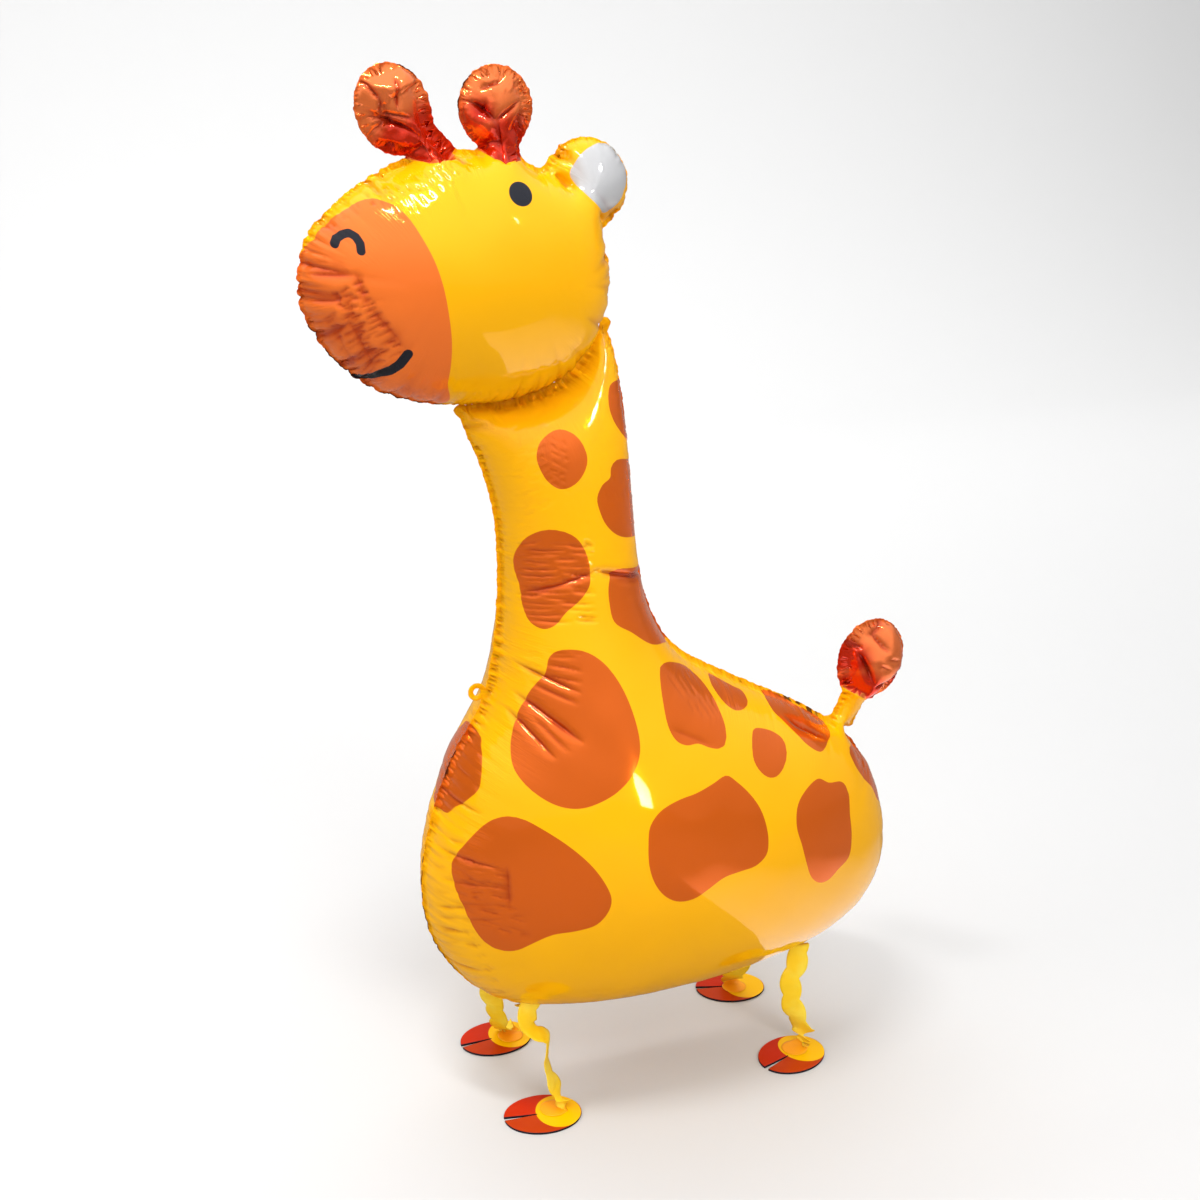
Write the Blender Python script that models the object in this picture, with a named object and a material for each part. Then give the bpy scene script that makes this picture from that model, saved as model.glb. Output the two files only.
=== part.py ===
"""Walking giraffe foil balloon, built from its real pieces.

The giraffe faces -X and stands on the ground at Z = 0, with its left side towards -Y.
The body and the head are two sealed foil balloons. Each is two sheets cut to one flat pattern
in the plane Y = 0 and welded all round, so it swells evenly to either side of its flat rim.
Four paper strips hang from the belly as legs, and each ends on a hoof cut from card.
All sizes are in metres.
"""

import math

import bmesh
import bpy
import numpy as np
from mathutils import Vector
from mathutils.bvhtree import BVHTree
from mathutils.geometry import delaunay_2d_cdt

# Foil rim: the flat weld round each balloon
RIM_WIDTH = 0.0055
RIM_THICKNESS = 0.0012
FULLNESS = 0.93

# Body balloon, with the neck and the tail in the same pattern
BODY_LENGTH = 0.5205
BODY_HEIGHT = 0.6997
CHEST_X = -0.2275
BELLY_Z = 0.0853
BODY_SHARES = [
    (0.122, 0.961), (0.100, 0.900), (0.132, 0.839), (0.159, 0.765), (0.165, 0.680),
    (0.157, 0.586), (0.130, 0.495), (0.073, 0.424), (0.026, 0.335), (0.000, 0.235),
    (0.016, 0.143), (0.071, 0.073), (0.137, 0.029), (0.266, 0.008), (0.459, -0.000),
    (0.650, 0.009), (0.828, 0.035), (0.940, 0.075), (0.995, 0.145), (1.000, 0.230),
    (0.949, 0.333), (0.833, 0.408), (0.650, 0.482), (0.526, 0.539), (0.468, 0.610),
    (0.443, 0.694), (0.429, 0.806), (0.411, 0.920), (0.382, 1.004), (0.335, 1.041),
]

# Tail: a stem and a tuft, placed by shares of the body's length and height
TAIL_ROOT = (0.905, 0.371)
TAIL_LEAN = -26
TAIL_STEM_LENGTH = 0.079
TAIL_STEM_WIDTH = 0.026
TAIL_TUFT_WIDTH = 0.082
TAIL_TUFT_HEIGHT = 0.092

# Ribbon tab on the rim at the front of the neck
TAB_SHARE = (0.121, 0.508)
TAB_WIDTH = 0.018
TAB_HOLE = 0.0075

# Head balloon, with both horns and the ear in the same pattern
HEAD_LENGTH = 0.294
HEAD_HEIGHT = 0.227
HEAD_GAP = 0.0006
HEAD_SEAT = (0.623, 0.004)
NECK_SEAT = (0.176, 0.912)
HEAD_SHARES = [
    (0.000, 0.520), (0.030, 0.686), (0.122, 0.808), (0.256, 0.928), (0.400, 0.988),
    (0.545, 1.000), (0.706, 0.960), (0.860, 0.840), (0.970, 0.665), (1.000, 0.480),
    (0.956, 0.275), (0.858, 0.100), (0.710, 0.018), (0.530, 0.000), (0.340, 0.030),
    (0.180, 0.118), (0.062, 0.278), (0.010, 0.405),
]

# Horns: root on the head by shares, lean from upright in degrees
HORN_STEM_WIDTH = 0.029
HORN_FRONT_ROOT = (0.455, 0.960)
HORN_FRONT_LEAN = 44
HORN_FRONT_LENGTH = 0.060
HORN_FRONT_BALL = (0.068, 0.080)
HORN_REAR_ROOT = (0.645, 0.950)
HORN_REAR_LEAN = 6
HORN_REAR_LENGTH = 0.047
HORN_REAR_BALL = (0.070, 0.074)

# Ear: a disc whose root is welded nearly flat
EAR_CENTRE = (0.914, 0.857)
EAR_DIAMETER = 0.086
EAR_ROOT_ANGLES = (172, 280)
EAR_ROOT_THICKNESS = 0.012

# Hooves: flat card with a cleft at the toe
HOOF_LENGTH = 0.080
HOOF_WIDTH = 0.064
HOOF_THICKNESS = 0.0025
CLEFT_LENGTH = 0.034
CLEFT_MOUTH = 0.005
CLEFT_END = 0.0012

# Legs: scalloped paper strips, glued under the belly and on to the hooves
STRIP_WIDTH = 0.025
STRIP_WAIST = 0.017
STRIP_THICKNESS = 0.0006
SCALLOP_LENGTH = 0.028
PAD_DIAMETER = 0.028
GLUED_LENGTH = 0.016
CONTACT_GAP = 0.0003

# Stance: hoof centres along X and out from the mid plane
STANCE_FRONT_X = -0.1285
STANCE_REAR_X = 0.1585
STANCE_HALF_WIDTH = 0.075

# Each leg: the way its toe points, then its hip, hanging places and pad, forward and outward from
# the hoof's centre. A hanging place has its share of the belly's height and its width's heading.
LEGS = {
    "front_left": {
        "toe": 172, "hip": (0.002, -0.028), "pad": (-0.013, -0.004),
        "hanging": [(0.007, -0.018, 0.80, 30), (-0.011, -0.012, 0.70, 60),
                    (-0.008, -0.005, 0.45, 60), (-0.020, -0.003, 0.15, 60)],
    },
    "front_right": {
        "toe": 183, "hip": (0.018, -0.030), "pad": (-0.016, -0.002),
        "hanging": [(0.014, -0.028, 0.60, -30), (0.008, -0.025, 0.42, -40),
                    (0.000, -0.012, 0.18, -50)],
    },
    "rear_left": {
        "toe": 200, "hip": (-0.016, -0.022), "pad": (-0.008, -0.008),
        "hanging": [(-0.014, -0.018, 0.86, -22), (-0.004, -0.014, 0.66, -15),
                    (-0.007, -0.012, 0.40, -22), (-0.019, -0.010, 0.15, -35)],
    },
    "rear_right": {
        "toe": 164, "hip": (-0.028, -0.034), "pad": (-0.004, -0.003),
        "hanging": [(-0.018, -0.026, 0.62, -30), (-0.006, -0.019, 0.40, -40),
                    (0.003, -0.014, 0.20, -40)],
    },
}

# How finely the solids are faceted
EDGE_STEP = 0.0030
ROUNDING = 5
RIM_STEP = 0.0140
RIM_STEP_SMALLEST = 0.0045
STEP_PER_RADIUS = 0.22
RIM_ROWS = (0.0035, 0.0120)
LATTICE_STEP = 0.0215
STRIP_STEP = 0.0065
HOOF_SIDES = 32
MERGE = 1e-6

YELLOW = (0.95, 0.60, 0.02, 1.0)
PAPER_YELLOW = (0.95, 0.62, 0.03, 1.0)
COPPER = (0.80, 0.17, 0.03, 1.0)


def remove_everything():
    for old in list(bpy.data.objects):
        bpy.data.objects.remove(old)


def material(name, colour, roughness, metallic):
    made = bpy.data.materials.new(name)
    made.use_nodes = True
    shader = made.node_tree.nodes["Principled BSDF"]
    shader.inputs["Base Color"].default_value = colour
    shader.inputs["Roughness"].default_value = roughness
    shader.inputs["Metallic"].default_value = metallic
    return made


def add_object(name, mesh_maker, finish):
    """Links an object whose mesh the given bmesh becomes."""
    mesh = bpy.data.meshes.new(name)
    mesh_maker.to_mesh(mesh)
    mesh_maker.free()
    mesh.shade_smooth()
    mesh.set_sharp_from_angle(angle=math.radians(50))
    mesh.materials.append(finish)
    made = bpy.data.objects.new(name, mesh)
    bpy.context.scene.collection.objects.link(made)
    return made


# Flat shapes, as loops of (x, z) points

def on_body(share):
    """The place of a share of the body's length and height."""
    return np.array([CHEST_X + share[0] * BODY_LENGTH, BELLY_Z + share[1] * BODY_HEIGHT])


def on_head(share):
    """The place of a share of the head's length and height, with the head seated on the neck."""
    size = np.array([HEAD_LENGTH, HEAD_HEIGHT])
    return on_body(NECK_SEAT) + (np.array(share) - np.array(HEAD_SEAT)) * size


def smooth_loop(corners, steps=8):
    """A closed curve that runs smoothly through the corners."""
    corners = np.array(corners)
    before, after = np.roll(corners, 1, axis=0), np.roll(corners, -1, axis=0)
    beyond = np.roll(corners, -2, axis=0)
    curve = []
    for t in np.arange(steps) / steps:
        curve.append(0.5 * (
            2 * corners + (after - before) * t
            + (2 * before - 5 * corners + 4 * after - beyond) * t ** 2
            + (3 * corners - before - 3 * after + beyond) * t ** 3
        ))
    return anticlockwise(np.stack(curve, axis=1).reshape(-1, 2))


def anticlockwise(loop):
    """The loop, turned round if it runs clockwise."""
    x, z = np.array(loop).T
    return loop[::-1] if np.sum(x * np.roll(z, -1) - np.roll(x, -1) * z) < 0 else loop


def ellipse(centre, width, height, lean=0, sides=48):
    """An ellipse whose height leans from upright towards -X by that many degrees."""
    turn = np.arange(sides) * 2 * math.pi / sides
    across, along = width / 2 * np.cos(turn), height / 2 * np.sin(turn)
    c, s = math.cos(math.radians(lean)), math.sin(math.radians(lean))
    return np.stack([centre[0] + across * c - along * s, centre[1] + across * s + along * c], 1)


def stem(root, tip, width, flare=1.25):
    """A bar from root to tip, a little wider at its root."""
    along = (tip - root) / np.linalg.norm(tip - root)
    side = np.array([along[1], -along[0]]) * width / 2
    return np.array([root - side * flare, root + side * flare, tip + side, tip - side])


def lobe(root, length, lean, stem_width, ball_width, ball_height):
    """A ball on a stem that leans from upright towards -X: the shapes to add to a pattern."""
    lean_rad = math.radians(lean)
    tip = root + length * np.array([-math.sin(lean_rad), math.cos(lean_rad)])
    return [stem(root, tip, stem_width), ellipse(tip, ball_width, ball_height, lean / 2)]


def pattern_edge(added, removed=()):
    """The outer edge of what the added shapes cover and the removed ones leave."""
    points, faces = [], []
    for shape in [*added, *removed]:
        faces.append(list(range(len(points), len(points) + len(shape))))
        points += [Vector(p) for p in shape]
    flat, _, cells, _, _, owners = delaunay_2d_cdt(points, [], faces, 1, MERGE)
    kept = [c for c, o in zip(cells, owners) if o and max(o) < len(added)]
    return longest_loop(np.array(flat), kept)


def boundary_steps(cells):
    """Each boundary point of these triangles, and the one that follows it."""
    sides = {(a, b) for c in cells for a, b in zip(c, [*c[1:], c[0]])}
    return {a: b for a, b in sides if (b, a) not in sides}


def longest_loop(flat, cells):
    following = boundary_steps(cells)
    loops = []
    while following:
        first, onward = following.popitem()
        loop = [first]
        while onward != first:
            loop.append(onward)
            onward = following.pop(onward)
        loops.append(flat[loop])
    return max(loops, key=lambda p: np.ptp(p[:, 0]) * np.ptp(p[:, 1]))


def evenly(loop, step):
    """The loop again, with points spaced as near to step as fits."""
    closed = np.vstack([loop, loop[:1]])
    run = np.concatenate([[0], np.cumsum(np.linalg.norm(np.diff(closed, axis=0), axis=1))])
    at = np.linspace(0, run[-1], round(run[-1] / step), endpoint=False)
    return np.stack([np.interp(at, run, closed[:, k]) for k in (0, 1)], 1)


def unevenly(loop):
    """The loop again, with its points closest together where it bends most."""
    loop = evenly(loop, EDGE_STEP)
    ahead, behind = np.roll(loop, -2, axis=0) - loop, loop - np.roll(loop, 2, axis=0)
    turned = np.abs(ahead[:, 0] * behind[:, 1] - ahead[:, 1] * behind[:, 0])
    bend = turned / (2 * EDGE_STEP) ** 3
    bend = np.convolve(np.tile(bend, 3), np.ones(5) / 5, "same")[len(bend):-len(bend)]
    step = np.clip(STEP_PER_RADIUS / np.maximum(bend, MERGE), RIM_STEP_SMALLEST, RIM_STEP)
    total = np.concatenate([[0], np.cumsum(EDGE_STEP / step)])
    at = np.linspace(0, total[-1], round(total[-1]), endpoint=False)
    closed = np.vstack([loop, loop[:1]])
    return np.stack([np.interp(at, total, closed[:, k]) for k in (0, 1)], 1)


def softened(loop, rounds):
    """The loop with its corners rounded."""
    for _ in range(rounds):
        loop = 0.5 * loop + 0.25 * (np.roll(loop, 1, axis=0) + np.roll(loop, -1, axis=0))
    return loop


def distance(points, loop):
    """How far each point is from the loop's sides."""
    ends = np.roll(loop, -1, axis=0)
    best = np.full(len(points), np.inf)
    for a, b in zip(loop, ends):
        side = b - a
        t = np.clip((points - a) @ side / (side @ side), 0, 1)
        best = np.minimum(best, np.linalg.norm(points - a - t[:, None] * side, axis=1))
    return best


def inside(points, loop):
    """Whether each point is inside the loop."""
    found = np.zeros(len(points), bool)
    for a, b in zip(loop, np.roll(loop, -1, axis=0)):
        spans = (a[1] > points[:, 1]) != (b[1] > points[:, 1])
        rise = b[1] - a[1] if b[1] != a[1] else MERGE
        crossing = a[0] + (points[:, 1] - a[1]) * (b[0] - a[0]) / rise
        found ^= spans & (points[:, 0] < crossing)
    return found


def inset(loop, depth):
    """Points at that depth inside a loop that runs anticlockwise."""
    along = np.roll(loop, -1, axis=0) - np.roll(loop, 1, axis=0)
    along /= np.linalg.norm(along, axis=1)[:, None]
    moved = loop + depth * np.stack([-along[:, 1], along[:, 0]], 1)
    return moved[distance(moved, loop) > 0.97 * depth]


def thinned(points, taken, spacing):
    """The points that keep that spacing from each other and from those taken."""
    kept = []
    for p in points:
        near = np.array([*taken, *kept])
        if np.min(np.linalg.norm(near - p, axis=1)) > spacing:
            kept.append(p)
    return kept


def gas_points(seal):
    """Where the swollen foil has its corners: rows beside the seal, then a lattice."""
    taken = list(seal)
    for row, depth in enumerate(RIM_ROWS):
        last = RIM_ROWS[row - 1] if row else 0
        taken += thinned(inset(evenly(seal, RIM_STEP / 2), depth), taken, 0.8 * (depth - last))
        if row:
            taken = [*taken[:len(seal)], *thinned(taken[len(seal):], seal, RIM_ROWS[0] * 0.5)]
    low, high = seal.min(axis=0), seal.max(axis=0)
    lattice = []
    for j, z in enumerate(np.arange(low[1], high[1], LATTICE_STEP * math.sqrt(0.75))):
        shift = LATTICE_STEP / 2 * (j % 2)
        lattice += [(x + shift, z) for x in np.arange(low[0], high[0], LATTICE_STEP)]
    lattice = np.array(lattice)
    deep = inside(lattice, seal) & (distance(lattice, seal) > RIM_ROWS[-1] * 1.3)
    taken += thinned(lattice[deep], taken, LATTICE_STEP * 0.55)
    return taken[len(seal):]


def swell(flat, cells, held):
    """Half-thickness at each point: a sheet under even pressure, fixed where held says."""
    count = len(flat)
    stiffness, load = np.zeros((count, count)), np.zeros(count)
    for cell in cells:
        corner = flat[cell]
        area = abs(np.linalg.det([corner[1] - corner[0], corner[2] - corner[0]])) / 2
        load[cell] += area / 3
        for k in range(3):
            i, j = cell[k], cell[(k + 1) % 3]
            u, v = corner[k] - corner[k - 1], corner[(k + 1) % 3] - corner[k - 1]
            weight = (u @ v) / (4 * area)
            stiffness[i, j] -= weight
            stiffness[j, i] -= weight
            stiffness[i, i] += weight
            stiffness[j, j] += weight
    fixed = np.array(sorted(held))
    free = np.array([k for k in range(count) if k not in held])
    rise = np.zeros(count)
    rise[fixed] = [held[k] ** 2 / 2 for k in fixed]
    pull = load[free] - stiffness[np.ix_(free, fixed)] @ rise[fixed]
    rise[free] = np.linalg.solve(stiffness[np.ix_(free, free)], pull)
    return FULLNESS * np.sqrt(2 * np.maximum(rise, 0))


def foil_balloon(name, edge, finish, tabs=(), holes=(), creases=()):
    """A solid balloon: the pattern's flat rim, swollen to both sides inside its seal."""
    seal = unevenly(inset(edge, RIM_WIDTH))
    edge = unevenly(edge)
    creased = [p for line, _ in creases for p in line]
    gas = thinned(gas_points(seal), [*seal, *creased], RIM_ROWS[0]) + creased
    shapes = [edge, *tabs, *holes]
    points = [Vector(p) for shape in shapes for p in shape]
    ends = np.cumsum([0] + [len(shape) for shape in shapes])
    faces = [list(range(a, b)) for a, b in zip(ends, ends[1:])]
    first_seal = len(points)
    points += [Vector(p) for p in [*seal, *gas]]
    seal_sides = [(first_seal + k, first_seal + (k + 1) % len(seal)) for k in range(len(seal))]
    flat, _, cells, _, _, owners = delaunay_2d_cdt(points, seal_sides, faces, 1, MERGE)
    flat = np.array(flat)
    solid_shapes = 1 + len(tabs)
    cells = [c for c, o in zip(cells, owners) if o and max(o) < solid_shapes]
    gassed = inside(flat, seal) & (distance(flat, seal) > MERGE * 10)
    held = {k: 0.0 for k in range(len(flat)) if not gassed[k]}
    for line, thickness in creases:
        near = np.min(np.linalg.norm(flat[:, None] - np.array(line)[None], axis=2), axis=1)
        held.update({int(k): thickness / 2 for k in np.nonzero(gassed & (near < MERGE * 10))[0]})
    half = RIM_THICKNESS / 2 + swell(flat, cells, held)

    maker = bmesh.new()
    left = [maker.verts.new((x, -y, z)) for (x, z), y in zip(flat, half)]
    right = [maker.verts.new((x, y, z)) for (x, z), y in zip(flat, half)]
    for a, b, c in cells:
        maker.faces.new((left[a], left[b], left[c]))
        maker.faces.new((right[c], right[b], right[a]))
    for a, b in boundary_steps(cells).items():
        maker.faces.new((left[b], left[a], right[a], right[b]))
    bmesh.ops.delete(maker, geom=[v for v in maker.verts if not v.link_faces], context="VERTS")
    return add_object(name, maker, finish)


def head_pattern():
    """The head's outline with the horns and the ear."""
    front = lobe(on_head(HORN_FRONT_ROOT), HORN_FRONT_LENGTH, HORN_FRONT_LEAN,
                 HORN_STEM_WIDTH, *HORN_FRONT_BALL)
    rear = lobe(on_head(HORN_REAR_ROOT), HORN_REAR_LENGTH, HORN_REAR_LEAN,
                HORN_STEM_WIDTH, *HORN_REAR_BALL)
    ear = ellipse(on_head(EAR_CENTRE), EAR_DIAMETER, EAR_DIAMETER)
    skull = smooth_loop([on_head(s) for s in HEAD_SHARES])
    return softened(evenly(pattern_edge([skull, *front, *rear, ear]), EDGE_STEP), ROUNDING)


def ear_root():
    """Points along the ear's root, where the two foils are welded nearly together."""
    start, stop = (math.radians(a) for a in EAR_ROOT_ANGLES)
    reach = EAR_DIAMETER / 2 - RIM_WIDTH
    ends = [on_head(EAR_CENTRE) + reach * np.array([math.cos(a), math.sin(a)]) for a in (start, stop)]
    count = round(np.linalg.norm(ends[1] - ends[0]) / (RIM_STEP / 2))
    return [ends[0] + (ends[1] - ends[0]) * t for t in np.linspace(0.1, 0.9, count)]


def body_pattern(head_edge):
    """The body's outline with the neck cut to cradle the head, and the tail."""
    trunk = smooth_loop([on_body(s) for s in BODY_SHARES])
    tail = lobe(on_body(TAIL_ROOT), TAIL_STEM_LENGTH, TAIL_LEAN,
                TAIL_STEM_WIDTH, TAIL_TUFT_WIDTH, TAIL_TUFT_HEIGHT)
    cradle = inset(evenly(head_edge, EDGE_STEP), -HEAD_GAP)
    edge = pattern_edge([trunk, *tail], [cradle])
    return softened(evenly(edge, EDGE_STEP), ROUNDING)


def hoof(name, finish, centre, heading):
    """A flat card hoof whose toe points along its heading."""
    gap_angle = math.asin(CLEFT_MOUTH / HOOF_WIDTH)
    turn = np.linspace(gap_angle, 2 * math.pi - gap_angle, HOOF_SIDES)
    rim = np.stack([HOOF_LENGTH / 2 * np.cos(turn), HOOF_WIDTH / 2 * np.sin(turn)], 1)
    inner = HOOF_LENGTH / 2 - CLEFT_LENGTH
    outline = [*rim, (inner, -CLEFT_END / 2), (inner, CLEFT_END / 2)]
    c, s = math.cos(math.radians(heading)), math.sin(math.radians(heading))
    maker = bmesh.new()
    base = [maker.verts.new((centre[0] + x * c - y * s, centre[1] + x * s + y * c, 0))
            for x, y in outline]
    sole = maker.faces.new(base)
    grown = bmesh.ops.extrude_face_region(maker, geom=[sole])
    top = [v for v in grown["geom"] if isinstance(v, bmesh.types.BMVert)]
    bmesh.ops.translate(maker, verts=top, vec=(0, 0, HOOF_THICKNESS))
    bmesh.ops.recalc_face_normals(maker, faces=maker.faces)
    return add_object(name, maker, finish)


def smooth_run(points, step):
    """An open curve through the points, with its corners about a step apart."""
    points = np.array(points)
    padded = np.vstack([2 * points[0] - points[1], points, 2 * points[-1] - points[-2]])
    curve = []
    for k in range(1, len(padded) - 2):
        p0, p1, p2, p3 = padded[k - 1:k + 3]
        parts = max(2, round(np.linalg.norm((p2 - p1)[:3]) / step))
        for t in np.arange(parts) / parts:
            curve.append(0.5 * (2 * p1 + (p2 - p0) * t + (2 * p0 - 5 * p1 + 4 * p2 - p3) * t ** 2
                                + (3 * p1 - p0 - 3 * p2 + p3) * t ** 3))
    return np.array([*curve, points[-1]])


def strip_width(run, total):
    """A strip's width at a run along it: scallops, then a round pad at its end."""
    left = total - run
    if left < PAD_DIAMETER:
        off_centre = abs(left - PAD_DIAMETER / 2)
        chord = 2 * math.sqrt(max((PAD_DIAMETER / 2) ** 2 - off_centre ** 2, 0))
        floor = STRIP_WAIST if left > PAD_DIAMETER / 2 else STRIP_WAIST * 0.4
        return max(chord, floor)
    swing = abs(math.sin(math.pi * run / SCALLOP_LENGTH))
    return STRIP_WAIST + (STRIP_WIDTH - STRIP_WAIST) * swing


def under_belly(belly, place):
    """Where the belly is met straight above a place on the ground, and the way it faces."""
    spot, normal, _, _ = belly.ray_cast(Vector((place[0], place[1], 0)), Vector((0, 0, 1)))
    return spot, normal


def leg_strip(name, finish, belly, hip, hanging, pad, pad_heading):
    """A paper strip: glued along the belly inwards from the hip, hanging, then flat on its hoof.

    Each hanging place is x, y, z and the heading of the strip's width, in degrees.
    """
    side = math.copysign(1, hip[1])
    clear = CONTACT_GAP + STRIP_THICKNESS / 2
    route = []
    for back in np.linspace(GLUED_LENGTH, 0, 4):
        spot, normal = under_belly(belly, (hip[0], hip[1] - side * back))
        route.append([*(spot + normal * clear), 0])
    route += hanging
    lying = HOOF_THICKNESS + CONTACT_GAP + STRIP_THICKNESS / 2
    ahead = np.array([math.cos(math.radians(pad_heading)), math.sin(math.radians(pad_heading))])
    for reach in (-0.45, 0.0, 0.5):
        route.append([*(np.array(pad) + ahead * PAD_DIAMETER * reach), lying, pad_heading + 90])
    curve = smooth_run(route, STRIP_STEP)
    curve[:, 2] = np.maximum(curve[:, 2], lying)
    path, headings = curve[:, :3], np.radians(curve[:, 3])
    along = np.gradient(path, axis=0)
    along /= np.linalg.norm(along, axis=1)[:, None]
    across = np.stack([np.cos(headings), np.sin(headings), np.zeros(len(path))], 1)
    across -= np.sum(across * along, axis=1)[:, None] * along
    across /= np.linalg.norm(across, axis=1)[:, None]
    facing = np.cross(along, across)
    runs = np.concatenate([[0], np.cumsum(np.linalg.norm(np.diff(path, axis=0), axis=1))])
    maker = bmesh.new()
    rings = []
    for p, w, n, run in zip(path, across, facing, runs):
        half_w, half_t = w * strip_width(run, runs[-1]) / 2, n * STRIP_THICKNESS / 2
        corners = [p + c for c in (half_w + half_t, half_t - half_w, -half_w - half_t, half_w - half_t)]
        over = max(c[2] - under_belly(belly, c)[0].z + CONTACT_GAP for c in corners)
        under = HOOF_THICKNESS + CONTACT_GAP - min(c[2] for c in corners)
        shift = np.array([0, 0, max(under, 0) - max(over, 0)])
        rings.append([maker.verts.new(c + shift) for c in corners])
    for a, b in zip(rings, rings[1:]):
        for k in range(4):
            maker.faces.new((a[k], a[k - 1], b[k - 1], b[k]))
    maker.faces.new(rings[0])
    maker.faces.new(reversed(rings[-1]))
    bmesh.ops.recalc_face_normals(maker, faces=maker.faces)
    return add_object(name, maker, finish)


def build():
    remove_everything()
    yellow = material("yellow_foil", YELLOW, 0.2, 0.35)
    paper = material("yellow_paper", PAPER_YELLOW, 0.5, 0.0)
    copper = material("hoof_card", COPPER, 0.3, 0.2)

    head_edge = head_pattern()
    root_line = (ear_root(), EAR_ROOT_THICKNESS)
    foil_balloon("foil_head", head_edge, yellow, creases=[root_line])

    tab = ellipse(on_body(TAB_SHARE), TAB_WIDTH, TAB_WIDTH, sides=16)
    tab_hole = ellipse(on_body(TAB_SHARE), TAB_HOLE, TAB_HOLE, sides=12)
    body = foil_balloon("foil_body", body_pattern(head_edge), yellow, [tab], [tab_hole])
    belly = BVHTree.FromObject(body, bpy.context.evaluated_depsgraph_get())

    for name, leg in LEGS.items():
        side = -1 if name.endswith("left") else 1
        x = STANCE_FRONT_X if name.startswith("front") else STANCE_REAR_X
        centre = (x, side * STANCE_HALF_WIDTH)
        hoof(f"hoof_{name}", copper, centre, leg["toe"])

        def beside(forward, outward):
            return centre[0] - forward, centre[1] + side * outward

        hip = beside(*leg["hip"])
        hip_height = under_belly(belly, hip)[0].z
        hanging = [[*beside(*place[:2]), place[2] * hip_height, place[3]] for place in leg["hanging"]]
        pad_heading = leg["toe"] if hanging[-1][0] > centre[0] else -90
        leg_strip(f"leg_{name}", paper, belly, hip, hanging, beside(*leg["pad"]), pad_heading)


build()
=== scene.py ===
"""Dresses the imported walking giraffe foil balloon: printed foil, paper strips, card hooves, stage.

All sizes are in metres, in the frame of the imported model: the giraffe faces -X, its left side is
-Y, and it stands on Z = 0. Both balloons are cut from flat sheets in the plane Y = 0.
"""

import math

import bmesh
import bpy
import numpy as np
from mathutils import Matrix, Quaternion, Vector, kdtree
from mathutils.bvhtree import BVHTree
from mathutils.geometry import delaunay_2d_cdt


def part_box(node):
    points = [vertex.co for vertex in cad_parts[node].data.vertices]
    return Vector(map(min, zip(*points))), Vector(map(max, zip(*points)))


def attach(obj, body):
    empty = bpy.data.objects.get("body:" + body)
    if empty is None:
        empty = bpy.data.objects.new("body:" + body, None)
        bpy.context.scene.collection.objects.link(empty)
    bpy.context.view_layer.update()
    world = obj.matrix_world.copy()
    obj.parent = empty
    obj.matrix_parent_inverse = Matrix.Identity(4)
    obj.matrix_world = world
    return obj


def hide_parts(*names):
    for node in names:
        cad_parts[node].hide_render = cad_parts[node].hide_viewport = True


bl_info = {
    "name": "Walking giraffe foil balloon",
    "version": (1, 0, 0),
    "blender": (4, 5, 0),
    "location": "View3D > Sidebar > Balloon",
    "description": "Makes a walking giraffe foil balloon on a pale stage",
    "category": "Add Mesh",
}

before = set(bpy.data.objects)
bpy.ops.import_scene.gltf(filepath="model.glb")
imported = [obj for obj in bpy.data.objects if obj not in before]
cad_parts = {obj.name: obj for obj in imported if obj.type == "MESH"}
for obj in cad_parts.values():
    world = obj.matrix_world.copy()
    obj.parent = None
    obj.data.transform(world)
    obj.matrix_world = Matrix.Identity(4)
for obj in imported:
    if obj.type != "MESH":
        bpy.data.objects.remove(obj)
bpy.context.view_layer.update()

# The photograph's camera
PHOTO_SIZE = 1200
FOCAL_PIXELS = 1620
CAMERA_PLACE = (-0.6064, -1.4139, 1.0)
CAMERA_TURN = 22
CAMERA_DIP = 17.5
SENSOR = 36

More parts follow.
